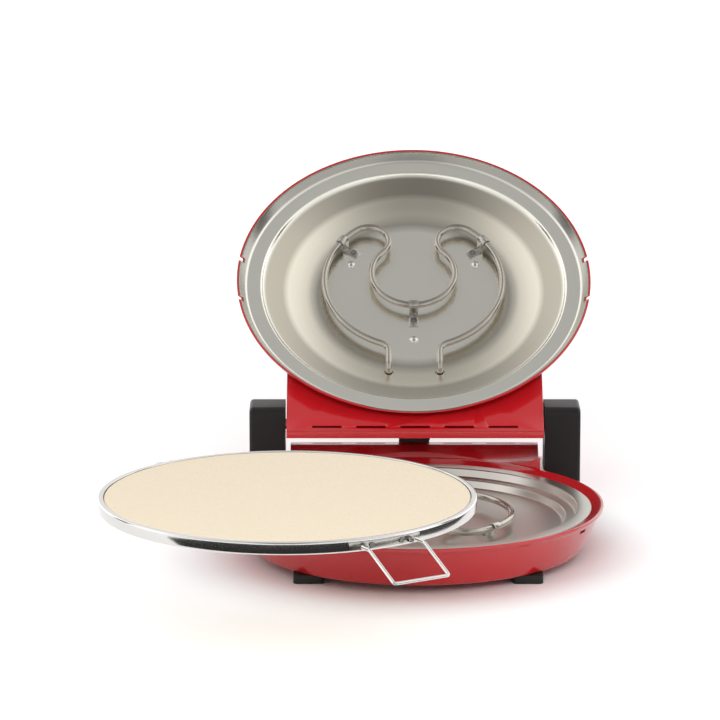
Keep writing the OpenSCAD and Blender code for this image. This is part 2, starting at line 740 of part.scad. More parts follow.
module bracket_rivets() {
    color(steel) taken_out() for (a = [bracket_angle, bracket_angle + 180]) for (s = [-1, 1])
        rotate([0, 0, a + s * rivet_angle]) translate([band_r - 3, 0, ear_w - 0.5])
            rotate([0, 90, 0]) {
                cylinder(r = 1.2, h = 3 + bracket_t + 0.4, $fn = 24);
                translate([0, 0, 3.4 + bracket_t]) cylinder(r = 2.2, h = 0.8, $fn = 24);
            }
}

// One wire handle: its ends turn in the ears, and its legs step over the lip before they drop
module handle(a) {
    tip_u = ear_u + wire_reach;
    half = [[ear_u, wire_half - 6.5, ear_w], [ear_u, wire_half, ear_w],
        [crank_u, wire_half, ear_w], [tip_u, wire_half, ear_w - wire_drop]];
    other = [for (i = [3:-1:0]) [half[i].x, -half[i].y, half[i].z]];
    color(steel) taken_out() rotate([0, 0, a])
        swept(eased(concat(half, other), wire_r + 1, 3), wire_r, 10, [1, 0, 0]);
}

base_shell();
base_liner();
bottom_plate();
rear_housing();
foot(0);  // foot_front_left
foot(1);  // foot_front_right
foot(2);  // foot_rear_left
foot(3);  // foot_rear_right
foot_screws();
hinge_post(-1);  // hinge_post_left
hinge_post(1);  // hinge_post_right
post_screws();
lower_element();
color(steel) translate([0, 0, base_floor]) drilled_clip(0);  // lower_clip_left
color(steel) translate([0, 0, base_floor]) drilled_clip(1);  // lower_clip_right
color(steel) translate([0, 0, base_floor]) drilled_clip(2);  // lower_clip_centre
color(steel) translate([0, 0, base_floor]) clip_screws();  // lower_clip_screws
color(steel) translate([0, 0, base_floor]) rivets();  // lower_rivets
color(stone_colour) terminals(base_floor - liner_t);  // lower_terminals
terminal_block();
cord_gland();
wiring_sleeve();
lid_shell();
lid_liner();
lid_rear_panel();
hinge_pin(-1);  // hinge_pin_left
hinge_pin(1);  // hinge_pin_right
upper_element();
color(steel) on_lid_flat() drilled_clip(0);  // upper_clip_left
color(steel) on_lid_flat() drilled_clip(1);  // upper_clip_right
color(steel) on_lid_flat() drilled_clip(2);  // upper_clip_centre
color(steel) on_lid_flat() clip_screws();  // upper_clip_screws
color(steel) on_lid_flat() rivets();  // upper_rivets
color(stone_colour) on_lid_flat() terminals(-liner_t);  // upper_terminals
grip();
grip_screws();
thermostat();
timer();
pilot_lamps();
knob(-1);  // thermostat_knob
knob(1);  // timer_knob
pizza_stone();
stone_band();
bracket(bracket_angle);  // bracket_front
bracket(bracket_angle + 180);  // bracket_rear
bracket_rivets();
handle(bracket_angle);  // handle_front
handle(bracket_angle + 180);  // handle_rear
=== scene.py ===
"""Visual model of a round electric pizza maker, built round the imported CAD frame."""
import logging
import math
from dataclasses import dataclass
from enum import Enum

import bmesh
import bpy
from mathutils import Euler, Matrix, Vector


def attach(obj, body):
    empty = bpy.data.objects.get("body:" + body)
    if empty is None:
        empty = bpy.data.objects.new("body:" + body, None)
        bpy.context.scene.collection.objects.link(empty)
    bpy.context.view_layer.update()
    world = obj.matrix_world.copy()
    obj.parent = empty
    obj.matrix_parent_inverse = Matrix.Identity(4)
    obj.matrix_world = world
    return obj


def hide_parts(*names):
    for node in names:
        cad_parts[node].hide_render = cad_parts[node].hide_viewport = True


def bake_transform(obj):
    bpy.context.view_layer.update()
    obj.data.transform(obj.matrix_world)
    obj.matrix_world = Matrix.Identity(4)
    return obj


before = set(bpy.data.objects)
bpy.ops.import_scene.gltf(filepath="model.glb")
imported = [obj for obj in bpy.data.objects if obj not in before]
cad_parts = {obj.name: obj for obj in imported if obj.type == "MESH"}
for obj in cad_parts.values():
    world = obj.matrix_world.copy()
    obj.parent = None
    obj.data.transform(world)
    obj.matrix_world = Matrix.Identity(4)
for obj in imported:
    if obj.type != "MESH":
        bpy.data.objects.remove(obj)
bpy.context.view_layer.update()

MM = 0.001
# Share of a round tube's radius that it is drawn at, to stay inside the CAD solid.
SKIN = 0.998
LOG = logging.getLogger("pizza_maker")

Point = tuple[float, float, float]
# Radius, height and rounding reach of a corner, in mm.
Corner = tuple[float, float, float]


class Slot(Enum):
    """Material slots of the record."""

    RED = "red_enamel"
    LINER = "liner_steel"
    STEEL = "steel"
    RUBBER = "black_rubber"
    PLASTIC = "black_plastic"
    TUBE = "element_tube"
    CERAMIC = "ceramic"
    STONE = "stone"


class Side(Enum):
    """Left and right, as the sign of X."""

    LEFT = -1
    RIGHT = 1


def linear(colour: str) -> tuple[float, float, float, float]:
    """Turn an sRGB hex colour to linear RGBA.

    Args:
        colour: Six hex digits.

    Returns:
        The linear colour with alpha 1.
    """
    parts = [int(colour[i:i + 2], 16) / 255 for i in (0, 2, 4)]
    knee, slope, offset, power = 0.04045, 12.92, 0.055, 2.4
    values = [p / slope if p <= knee else ((p + offset) / (1 + offset)) ** power for p in parts]
    return values[0], values[1], values[2], 1.0


def add_node(tree: bpy.types.NodeTree, kind: str, settings: dict | None = None,
             links: dict | None = None) -> bpy.types.Node:
    """Add one node to a tree.

    Args:
        tree: The node tree.
        kind: The node's bl_idname.
        settings: Attributes by name, and input values by socket name or index.
        links: Output sockets by the input's name or index.

    Returns:
        The new node.
    """
    node = tree.nodes.new(kind)
    for key, value in (settings or {}).items():
        if isinstance(key, str) and hasattr(node, key):
            setattr(node, key, value)
        else:
            node.inputs[key].default_value = value
    for key, socket in (links or {}).items():
        tree.links.new(socket, node.inputs[key])
    return node


@dataclass(frozen=True)
class Finish:
    """A plain finish: one colour with a fine, slightly uneven surface."""

    name: str
    colour: str
    roughness: float
    metallic: float = 0.0
    ior: float = 1.5
    coat: float = 0.0
    grain_mm: float = 6.0
    uneven: float = 0.03
    bump_mm: float = 0.0

    def surface(self, tree: bpy.types.NodeTree, shader: bpy.types.Node) -> None:
        """Link the finish's pattern to the shader.

        Args:
            tree: The material's node tree.
            shader: The Principled shader.
        """
        smoothest = 0.02
        place = add_node(tree, "ShaderNodeTexCoord").outputs["Object"]
        noise = add_node(tree, "ShaderNodeTexNoise", {
            "Scale": 1 / (self.grain_mm * MM), "Detail": 3.0}, {"Vector": place})
        spread = add_node(tree, "ShaderNodeMapRange", {
            "To Min": max(self.roughness - self.uneven, smoothest),
            "To Max": self.roughness + self.uneven}, {"Value": noise.outputs[0]})
        tree.links.new(spread.outputs[0], shader.inputs["Roughness"])
        if self.bump_mm:
            bump = add_node(tree, "ShaderNodeBump", {
                "Strength": 0.6, "Distance": self.bump_mm * MM}, {"Height": noise.outputs[0]})
            tree.links.new(bump.outputs[0], shader.inputs["Normal"])

    def make(self) -> bpy.types.Material:
        """Build the material.

        Returns:
            The new material.
        """
        material = bpy.data.materials.new(self.name)
        material.use_nodes = True
        tree = material.node_tree
        tree.nodes.clear()
        shader = add_node(tree, "ShaderNodeBsdfPrincipled", {
            "Base Color": linear(self.colour), "Metallic": self.metallic,
            "Roughness": self.roughness, "Coat Weight": self.coat, "Coat Roughness": 0.05})
        if not self.metallic:
            shader.inputs["IOR"].default_value = self.ior
        self.surface(tree, shader)
        add_node(tree, "ShaderNodeOutputMaterial", links={"Surface": shader.outputs[0]})
        return material


@dataclass(frozen=True)
class SpunSteel(Finish):
    """Sheet steel spun on a lathe: faint rings round its axis, and painted light and shade in
    bands.

    Each band is a radius in mm and the colour painted there as highlight or shade, from the axis
    outwards.
    """

    centre: Point = (0.0, 0.0, 0.0)
    tilt: float = 0.0
    ring_mm: float = 1.6
    painted_light_bands: tuple[tuple[float, str], ...] = ()

    def surface(self, tree: bpy.types.NodeTree, shader: bpy.types.Node) -> None:
        """Link rings of changing roughness, a broad cloudiness, and bands of painted highlight and
        shade.

        Args:
            tree: The material's node tree.
            shader: The Principled shader.
        """
        place = add_node(tree, "ShaderNodeTexCoord").outputs["Object"]
        moved = add_node(tree, "ShaderNodeVectorMath", {
            "operation": "SUBTRACT", 1: self.centre}, {0: place})
        level = add_node(tree, "ShaderNodeVectorRotate", {
            "rotation_type": "X_AXIS", "Angle": -self.tilt}, {"Vector": moved.outputs[0]})
        flat = add_node(tree, "ShaderNodeVectorMath", {
            "operation": "MULTIPLY", 1: (1.0, 1.0, 0.0)}, {0: level.outputs[0]})
        reach = add_node(tree, "ShaderNodeVectorMath", {
            "operation": "LENGTH"}, {0: flat.outputs[0]}).outputs["Value"]
        rings = add_node(tree, "ShaderNodeTexNoise", {
            "noise_dimensions": "1D", "Scale": 1 / (self.ring_mm * MM), "Detail": 2.0}, {
            "W": reach})
        cloud = add_node(tree, "ShaderNodeTexNoise", {
            "Scale": 1 / (self.grain_mm * MM), "Detail": 2.0}, {"Vector": place})
        both = add_node(tree, "ShaderNodeMath", {"operation": "ADD"}, {
            0: rings.outputs[0], 1: cloud.outputs[0]})
        spread = add_node(tree, "ShaderNodeMapRange", {
            "From Max": 2.0, "To Min": self.roughness - self.uneven,
            "To Max": self.roughness + self.uneven}, {"Value": both.outputs[0]})
        tree.links.new(spread.outputs[0], shader.inputs["Roughness"])
        bump = add_node(tree, "ShaderNodeBump", {
            "Strength": 0.05, "Distance": self.bump_mm * MM}, {"Height": rings.outputs[0]})
        tree.links.new(bump.outputs[0], shader.inputs["Normal"])
        # Painted light: bright rings and crescents and dark rings laid into the base colour by
        # radius.
        if self.painted_light_bands:
            widest = self.painted_light_bands[-1][0]
            share = add_node(tree, "ShaderNodeMath", {
                "operation": "DIVIDE", 1: widest * MM}, {0: reach})
            painted_light_ramp = add_node(tree, "ShaderNodeValToRGB", links={"Fac": share.outputs[0]})
            stops = painted_light_ramp.color_ramp.elements
            for i, (radius, colour) in enumerate(self.painted_light_bands):
                stop = stops[i] if i < 2 else stops.new(1.0)
                stop.position, stop.color = radius / widest, linear(colour)
            tree.links.new(painted_light_ramp.outputs[0], shader.inputs["Base Color"])


@dataclass(frozen=True)
class FiredStone(Finish):
    """Unglazed cordierite: sparse darker and lighter grains in a matt cream body."""

    dark: str = "E3CFAC"
    pale: str = "FFF5E2"

    def surface(self, tree: bpy.types.NodeTree, shader: bpy.types.Node) -> None:
        """Link the grains and the slight unevenness.

        Args:
            tree: The material's node tree.
            shader: The Principled shader.
        """
        place = add_node(tree, "ShaderNodeTexCoord").outputs["Object"]
        grain = add_node(tree, "ShaderNodeTexNoise", {
            "Scale": 1 / (self.grain_mm * MM), "Detail": 4.0}, {"Vector": place})
        ramp = add_node(tree, "ShaderNodeValToRGB", links={"Fac": grain.outputs[0]})
        stops = ramp.color_ramp.elements
        stops[0].position, stops[0].color = 0.28, linear(self.dark)
        stops[1].position, stops[1].color = 0.72, linear(self.pale)
        middle = stops.new(0.5)
        middle.color = linear(self.colour)
        # Sockets 6 and 7 are the Mix node's two colours, and output 2 is its mixed colour.
        mild = add_node(tree, "ShaderNodeMix", {
            "data_type": "RGBA", 0: 0.35, 6: linear(self.colour)}, {7: ramp.outputs[0]})
        tree.links.new(mild.outputs[2], shader.inputs["Base Color"])
        bump = add_node(tree, "ShaderNodeBump", {
            "Strength": 0.3, "Distance": self.bump_mm * MM}, {"Height": grain.outputs[0]})
        tree.links.new(bump.outputs[0], shader.inputs["Normal"])


def smooth(mesh: bpy.types.Mesh, angle: float = 32.0) -> None:
    """Shade a mesh smooth, with edges sharper than an angle kept sharp.

    Args:
        mesh: The mesh.
        angle: The angle in degrees.
    """
    mesh.polygons.foreach_set("use_smooth", [True] * len(mesh.polygons))
    mesh.set_sharp_from_angle(angle=math.radians(angle))


def closed_mesh(work: bmesh.types.BMesh, name: str) -> bpy.types.Mesh:
    """Turn a closed work mesh's faces outwards, and store and free it.

    Args:
        work: The work mesh, in metres.
        name: The stored mesh's name.

    Returns:
        The stored mesh.
    """
    bmesh.ops.recalc_face_normals(work, faces=work.faces)
    mesh = bpy.data.meshes.new(name)
    work.to_mesh(mesh)
    work.free()
    return mesh


def new_piece(name: str, mesh: bpy.types.Mesh,
              material: bpy.types.Material) -> bpy.types.Object:
    """Make an object at the origin from a mesh whose place is in its points.

    Args:
        name: The piece's name.
        mesh: Its mesh, in metres.
        material: Its finish.

    Returns:
        The new object.
    """
    mesh.materials.clear()
    mesh.materials.append(material)
    piece = bpy.data.objects.new(name, mesh)
    bpy.context.scene.collection.objects.link(piece)
    return piece


def applied(piece: bpy.types.Object) -> bpy.types.Object:
    """Turn a piece with modifiers into a plain one.

    Args:
        piece: The object.

    Returns:
        The same object with its evaluated mesh and no modifier.
    """
    graph = bpy.context.evaluated_depsgraph_get()
    mesh = bpy.data.meshes.new_from_object(piece.evaluated_get(graph))
    piece.modifiers.clear()
    piece.data = mesh
    smooth(mesh)
    return piece


def eased(corners: list[Corner], steps: int = 4) -> list[tuple[float, float]]:
    """Round the corners of a closed outline.

    Args:
        corners: Radius, height and reach of each corner, in mm.
        steps: Points in each rounded corner, less one.

    Returns:
        The outline's points.
    """
    points = []
    count = len(corners)
    longest = 0.48
    for i, (x, y, reach) in enumerate(corners):
        here = Vector((x, y))
        if reach <= 0:
            points.append((x, y))
            continue
        ends = []
        for other in (corners[i - 1], corners[(i + 1) % count]):
            way = Vector(other[:2]) - here
            ends.append(here + way.normalized() * min(reach, way.length * longest))
        for k in range(steps + 1):
            t = k / steps
            p = (1 - t) ** 2 * ends[0] + 2 * t * (1 - t) * here + t * t * ends[1]
            points.append((p.x, p.y))
    return points


def turned(corners: list[Corner], segments: int = 192) -> bpy.types.Mesh:
    """Turn a closed outline round the Z axis, as spun and pressed rounds are.

    Args:
        corners: Radius, height and reach of each corner, in mm.
        segments: Steps round the axis.

    Returns:
        The closed mesh, in metres.
    """
    on_axis = 1e-6
    angles = [2 * math.pi * k / segments for k in range(segments)]
    work = bmesh.new()
    rings = []
    for x, y in eased(corners):
        if x < on_axis:
            rings.append([work.verts.new((0, 0, y * MM))] * segments)
        else:
            rings.append([work.verts.new((x * MM * math.cos(a), x * MM * math.sin(a), y * MM))
                          for a in angles])
    for i, ring in enumerate(rings):
        after = rings[(i + 1) % len(rings)]
        for k in range(segments):
            n = (k + 1) % segments
            face = list(dict.fromkeys((ring[k], ring[n], after[n], after[k])))
            if len(face) > 2:
                work.faces.new(face)
    return closed_mesh(work, "turned")


def extruded(outline: list[tuple[float, float]], x0: float, x1: float) -> bpy.types.Mesh:
    """Extrude an outline in Y and Z along X.

    Args:
        outline: Y and Z of its points, in mm.
        x0: Where it starts, in mm.
        x1: Where it ends, in mm.

    Returns:
        The closed mesh, in metres.
    """
    work = bmesh.new()
    ends = [[work.verts.new((x * MM, y * MM, z * MM)) for y, z in outline] for x in (x0, x1)]
    work.faces.new(ends[0])
    work.faces.new(list(reversed(ends[1])))
    for i in range(len(outline)):
        n = (i + 1) % len(outline)
        work.faces.new((ends[0][n], ends[0][i], ends[1][i], ends[1][n]))
    return closed_mesh(work, "extruded")


def cut(piece: bpy.types.Object, cutters: list[bpy.types.Mesh]) -> bpy.types.Object:
    """Cut holes in a piece.

    Args:
        piece: The object.
        cutters: Closed meshes in the same frame.

    Returns:
        The same object, cut.
    """
    tools = []
    for mesh in cutters:
        tool = bpy.data.objects.new("cutter", mesh)
        bpy.context.scene.collection.objects.link(tool)
        step = piece.modifiers.new("cut", "BOOLEAN")
        step.operation, step.object, step.solver = "DIFFERENCE", tool, "EXACT"
        tools.append(tool)
    applied(piece)
    for tool in tools:
        bpy.data.objects.remove(tool)
    return piece


def rod(radius: float, low: float, high: float, at: tuple[float, float]) -> bpy.types.Mesh:
    """Make an upright cylinder.

    Args:
        radius: Its radius, in mm.
        low: Its lower end, in mm.
        high: Its upper end, in mm.
        at: X and Y of its axis, in mm.

    Returns:
        The closed mesh, in metres.
    """
    mesh = turned([(0, low, 0), (radius, low, 0), (radius, high, 0), (0, high, 0)], 48)
    mesh.transform(Matrix.Translation((at[0] * MM, at[1] * MM, 0)))
    return mesh


def block(low: Point, high: Point) -> bpy.types.Mesh:
    """Make a box from its lowest and highest corners, in mm."""
    (x0, y0, z0), (x1, y1, z1) = low, high
    return extruded([(y0, z0), (y1, z0), (y1, z1), (y0, z1)], x0, x1)


def dressed(name: str, node: str, material: bpy.types.Material, bevel_mm: float,
            segments: int = 3) -> bpy.types.Object:
    """Copy a CAD node and round its edges, as moulding, pressing and deburring leave them.

    Args:
        name: The new piece's name.
        node: The CAD node.
        material: Its finish.
        bevel_mm: Width of the rounding, in mm.
        segments: Steps in the rounding.

    Returns:
        The new piece, which stands for the node.
    """
    merge, flat, sharp = 2e-6, math.radians(0.4), math.radians(35)
    work = bmesh.new()
    work.from_mesh(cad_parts[node].data)
    bmesh.ops.remove_doubles(work, verts=work.verts, dist=merge)
    bmesh.ops.dissolve_limit(work, angle_limit=flat, verts=work.verts, edges=work.edges)
    mesh = bpy.data.meshes.new(name)
    work.to_mesh(mesh)
    work.free()
    if "custom_normal" in mesh.attributes:
        mesh.attributes.remove(mesh.attributes["custom_normal"])
    piece = new_piece(name, mesh, material)
    step = piece.modifiers.new("edges", "BEVEL")
    step.width, step.segments, step.limit_method = bevel_mm * MM, segments, "ANGLE"
    step.angle_limit, step.use_clamp_overlap = sharp, True
    applied(piece)
    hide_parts(node)
    return piece


class GrowingTree:
    """A Geometry Nodes tree with named inputs, run once and made a plain mesh."""

    def __init__(self, name: str, sizes: dict[str, str]) -> None:
        """Start the tree.

        Args:
            name: The tree's name.
            sizes: Socket type of each named input after the geometry.
        """
        self.tree = bpy.data.node_groups.new(name, "GeometryNodeTree")
        face = self.tree.interface
        face.new_socket(name="Geometry", in_out="INPUT", socket_type="NodeSocketGeometry")
        face.new_socket(name="Geometry", in_out="OUTPUT", socket_type="NodeSocketGeometry")
        self.keys: dict[str, str] = {}
        for label, kind in {**sizes, "Finish": "NodeSocketMaterial"}.items():
            socket = face.new_socket(name=label, in_out="INPUT", socket_type=kind)
            self.keys[label] = socket.identifier
        self.start = add_node(self.tree, "NodeGroupInput")

    def close(self, socket: bpy.types.NodeSocket) -> None:
        """End the tree with Realize Instances and Set Material.

        Args:
            socket: The geometry to end with.
        """
        real = add_node(self.tree, "GeometryNodeRealizeInstances", links={0: socket})
        finished = add_node(self.tree, "GeometryNodeSetMaterial", links={
            "Geometry": real.outputs[0], "Material": self.start.outputs["Finish"]})
        add_node(self.tree, "NodeGroupOutput", links={0: finished.outputs[0]})

    def scatter(self, places: dict[str, bpy.types.NodeSocket],
                shape: bpy.types.NodeSocket) -> None:
        """Set a shape on each point, turn and shift the whole set, and end the tree.

        Args:
            places: The points, and where each shape has its own turn, that rotation.
            shape: The shape.
        """
        many = add_node(self.tree, "GeometryNodeInstanceOnPoints", links={
            **places, "Instance": shape})
        placed = add_node(self.tree, "GeometryNodeTransform", links={
            "Geometry": many.outputs[0], "Rotation": self.start.outputs["Turn"],
            "Translation": self.start.outputs["Shift"]})
        self.close(placed.outputs[0])

    def grow(self, name: str, points: list[Point], joined: bool, values: dict,
             material: bpy.types.Material) -> bpy.types.Object:
        """Run the tree on a line or a set of points.

        Args:
            name: The new piece's name.
            points: The points, in mm.
            joined: Whether the points are joined to one line.
            values: The named inputs.
            material: The finish.

        Returns:
            The plain piece.
        """
        mesh = bpy.data.meshes.new(name)
        pairs = [(i, i + 1) for i in range(len(points) - 1)] if joined else []
        mesh.from_pydata([tuple(c * MM for c in p) for p in points], pairs, [])
        piece = new_piece(name, mesh, material)
        step = piece.modifiers.new("grow", "NODES")
        step.node_group = self.tree
        for label, value in values.items():
            step[self.keys[label]] = tuple(value) if hasattr(value, "__len__") else value
        step[self.keys["Finish"]] = material
        return applied(piece)


def tube_tree() -> GrowingTree:
    """Build the tree that makes a round tube along a line.

    Returns:
        The tree, with the tube's radius and number of sides as inputs.
    """
    made = GrowingTree("bent_tube", {"Radius": "NodeSocketFloat", "Sides": "NodeSocketInt"})
    line = add_node(made.tree, "GeometryNodeMeshToCurve", links={0: made.start.outputs["Geometry"]})
    ring = add_node(made.tree, "GeometryNodeCurvePrimitiveCircle", links={
        "Resolution": made.start.outputs["Sides"], "Radius": made.start.outputs["Radius"]})
    tube = add_node(made.tree, "GeometryNodeCurveToMesh", {"Fill Caps": True}, {
        "Curve": line.outputs[0], "Profile Curve": ring.outputs[0]})
    made.close(tube.outputs[0])
    return made


# Inputs for the turn and shift of a whole set, and for the size of a screw or rivet head.
PLACING = {"Turn": "NodeSocketVector", "Shift": "NodeSocketVector"}
HEAD_SIZES = {"Head": "NodeSocketFloat", "Height": "NodeSocketFloat", **PLACING}


def rivet_tree() -> GrowingTree:
    """Build the tree that sets a domed rivet head on each point.

    Returns:
        The tree, with head radius, height, and the turn and shift of the whole set as inputs.
    """
    made = GrowingTree("domed_rivets", HEAD_SIZES)
    start = made.start.outputs
    ball = add_node(made.tree, "GeometryNodeMeshUVSphere", {"Segments": 28, "Rings": 14}, {
        "Radius": start["Head"]})
    ratio = add_node(made.tree, "ShaderNodeMath", {"operation": "DIVIDE"}, {
        0: start["Height"], 1: start["Head"]})
    shape = add_node(made.tree, "ShaderNodeCombineXYZ", {"X": 1.0, "Y": 1.0}, {
        "Z": ratio.outputs[0]})
    dome = add_node(made.tree, "GeometryNodeTransform", links={
        "Geometry": ball.outputs["Mesh"], "Scale": shape.outputs[0]})
    spots = add_node(made.tree, "GeometryNodeMeshToPoints", links={"Mesh": start["Geometry"]})
    made.scatter({"Points": spots.outputs[0]}, dome.outputs[0])
    return made


def screw_tree() -> GrowingTree:
    """Build the tree that sets a screw head with a cross recess on each point.

    Returns:
        The tree, with head radius, height, and the turn and shift of the whole set as inputs.
    """
    made = GrowingTree("cross_screws", HEAD_SIZES)
    start = made.start.outputs
    head = add_node(made.tree, "GeometryNodeMeshCylinder", {"Vertices": 32}, {
        "Radius": start["Head"], "Depth": start["Height"]})
    # The recess's length and width, as shares of the head's radius.
    recess = (1.15, 0.28)
    sides = [add_node(made.tree, "ShaderNodeMath", {"operation": "MULTIPLY", 1: share}, {
        0: start["Head"]}).outputs[0] for share in recess]
    half = add_node(made.tree, "ShaderNodeMath", {"operation": "MULTIPLY", 1: 0.5}, {
        0: start["Height"]})
    rise = add_node(made.tree, "ShaderNodeCombineXYZ", links={"Z": half.outputs[0]})
    solid = head.outputs["Mesh"]
    for x, y in (sides, sides[::-1]):
        size = add_node(made.tree, "ShaderNodeCombineXYZ", links={
            "X": x, "Y": y, "Z": start["Height"]})
        bar = add_node(made.tree, "GeometryNodeMeshCube", links={"Size": size.outputs[0]})
        raised = add_node(made.tree, "GeometryNodeTransform", links={
            "Geometry": bar.outputs["Mesh"], "Translation": rise.outputs[0]})
        solid = add_node(made.tree, "GeometryNodeMeshBoolean", {"operation": "DIFFERENCE"}, {
            "Mesh 1": solid, "Mesh 2": raised.outputs[0]}).outputs[0]
    seated = add_node(made.tree, "GeometryNodeTransform", links={
        "Geometry": solid, "Translation": rise.outputs[0]})
    spots = add_node(made.tree, "GeometryNodeMeshToPoints", links={"Mesh": start["Geometry"]})
    made.scatter({"Points": spots.outputs[0]}, seated.outputs[0])
    return made


def ring_tree() -> GrowingTree:
    """Build the tree that sets small bars round a ring, pointing outwards.

    Returns:
        The tree, with count, ring radius, bar size, and the ring's turn and shift as inputs.
    """
    made = GrowingTree("ring_of_bars", {
        "Count": "NodeSocketInt", "Reach": "NodeSocketFloat", "Bar": "NodeSocketVector", **PLACING})
    start = made.start.outputs
    ring = add_node(made.tree, "GeometryNodeMeshCircle", links={
        "Vertices": start["Count"], "Radius": start["Reach"]})
    where = add_node(made.tree, "GeometryNodeInputPosition")
    out = add_node(made.tree, "FunctionNodeAlignRotationToVector", {
        "axis": "X", "pivot_axis": "Z"}, {"Vector": where.outputs[0]})
    bar = add_node(made.tree, "GeometryNodeMeshCube", links={"Size": start["Bar"]})
    made.scatter({"Points": ring.outputs[0], "Rotation": out.outputs[0]}, bar.outputs["Mesh"])
    return made


@dataclass(frozen=True)
class Frame:
    """Places that the sub-assemblies share, in mm, as the part's source has them."""

    rim_r: float = 175.0
    rim_z: float = 47.5
    base_z: float = 8.0
    seat_z: float = 44.3
    seat_r: float = 163.2
    base_floor: float = 29.0
    housing_w: float = 125.5
    housing_y: float = 196.0
    hinge_y: float = 158.0
    hinge_h: float = 37.8
    open_angle: float = 143.35
    flat_h: float = 26.0
    flange_h: float = 9.0
    lid_h: float = 48.0
    tube_stand: float = 10.0
    swing_r: float = 37.6

    def lid(self) -> Matrix:
        """Give the transform from the shut lid's own frame to its open rest pose."""
        pivot = Matrix.Translation((0, self.hinge_y * MM, (self.rim_z + self.hinge_h) * MM))
        turn = Matrix.Rotation(math.radians(-self.open_angle), 4, "X")
        return pivot @ turn @ pivot.inverted() @ Matrix.Translation((0, 0, self.rim_z * MM))

    def hang(self) -> Matrix:
        """Give the transform that hangs pieces drawn for a floor from the shut lid's flat."""
        return Matrix.Translation((0, 0, self.flat_h * MM)) @ Matrix.Scale(-1, 4, (0, 0, 1))


class Workshop:
    """Finishes and trees that every sub-assembly uses."""

    def __init__(self, sizes: Frame) -> None:
        """Build the finishes and trees.

        Args:
            sizes: The shared places.
        """
        self.sizes = sizes
        # Gloss enamel on pressed steel: a deep red with a clear, wet-looking top.
        self.enamel = Finish("gloss_red_enamel", "C21C23", 0.16, coat=0.6, grain_mm=25).make()
        # Polished spun steel: a pale, slightly warm metal that mirrors softly.
        self.bowl = SpunSteel(
            "spun_steel_bowl", "CECAC2", 0.34, 1.0, grain_mm=60, bump_mm=0.02).make()
        # The same steel pressed into the lid: painted highlight and shade in bands where its slope
        # changes.
        self.dome = SpunSteel(
            "spun_steel_dome", "DAD6CD", 0.24, 1.0, grain_mm=45, uneven=0.05, bump_mm=0.04,
            centre=tuple(sizes.lid() @ Vector((0, 0, 0))), tilt=math.radians(-sizes.open_angle),
            # Each band paints a highlight or a shade into the steel's colour.
            painted_light_bands=((84.0, "EEEBE1"), (95.0, "BAB6AB"), (107.0, "E6E0D0"), (124.0, "E6E0D0"),
                   (130.0, "B9B3A5"), (146.0, "B9B3A5"), (151.0, "F2F0E6"), (165.5, "F2F0E6"),
                   (167.5, "A09E97"), (175.0, "A09E97"))).make()
        # Bright rolled steel of the band: nearly a mirror.
        self.bright = Finish("bright_rolled_steel", "D6D4D1", 0.1, 1.0, grain_mm=12).make()
        # Satin steel of screws, straps and pins: a soft grey metal.
        self.satin = Finish("satin_steel", "B4B1AA", 0.24, 1.0, grain_mm=20).make()
        # Heat-tinted sheath of the heating tube: a smooth, brownish grey metal.
        self.sheath = Finish(
            "heat_tinted_sheath", "ABA59C", 0.22, 1.0, grain_mm=25, uneven=0.02).make()
        # Moulded phenolic of posts, grip and knobs: near black with a soft sheen.
        self.phenolic = Finish(
            "moulded_phenolic", "141110", 0.45, ior=1.38, grain_mm=1.2, bump_mm=0.03).make()
        # Moulded rubber of feet, gland and sleeve: matt and slightly grey.
        self.rubber = Finish("moulded_rubber", "1E1D1B", 0.7, grain_mm=1.5, bump_mm=0.04).make()
        # Fired cordierite of the baking stone: a matt cream with fine grains.
        self.stone = FiredStone(
            "fired_cordierite", "F8E8CF", 0.82, grain_mm=1.4, bump_mm=0.05).make()
        # Steatite of terminals, and the dials' printed marks: a plain off-white.
        self.ceramic = Finish("steatite", "EEE7D8", 0.5, grain_mm=2).make()
        # Moulded cases of the controls: a plain pale grey.
        self.case = Finish("moulded_case", "C6C2B8", 0.5, grain_mm=3).make()
        # Tinted acrylic of the pilot lamps: a glossy orange.
        self.lens = Finish("tinted_lens", "D2401C", 0.12, ior=1.49, coat=0.3).make()
        self.tube = tube_tree()
        self.rivet = rivet_tree()
        self.screw = screw_tree()
        self.ring = ring_tree()

    def ride(self, piece: bpy.types.Object, body: str, slot: Slot, *nodes: str) -> bpy.types.Object:
        """Fasten a finished piece to a body.

        Args:
            piece: The piece.
            body: The CAD body that it moves with.
            slot: The record's slot for it; not used.
            nodes: The CAD nodes that it stands for.

        Returns:
            The same piece.
        """
        if nodes:
            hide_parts(*nodes)
        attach(piece, body)
        LOG.info("%s rides on %s", piece.name, body)
        return piece

    def dress(self, name: str, node: str, material: bpy.types.Material, bevel_mm: float,
              body: str, slot: Slot, segments: int = 3) -> None:
        """Round a CAD node's edges and fasten the piece that stands for it.

        Args:
            name: The piece's name.
            node: The CAD node.
            material: Its finish.
            bevel_mm: Width of the rounding, in mm.
            body: The CAD body that it moves with.
            slot: The record's slot for it, handed on to ride.
            segments: Steps in the rounding.
        """
        self.ride(dressed(name, node, material, bevel_mm, segments), body, slot)

    def paint(self, material: bpy.types.Material, *nodes: str) -> None:
        """Give shown CAD nodes their finish.

        Args:
            material: The finish.
            nodes: The CAD nodes.
        """
        for node in nodes:
            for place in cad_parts[node].material_slots:
                place.link = "OBJECT"
                place.material = material


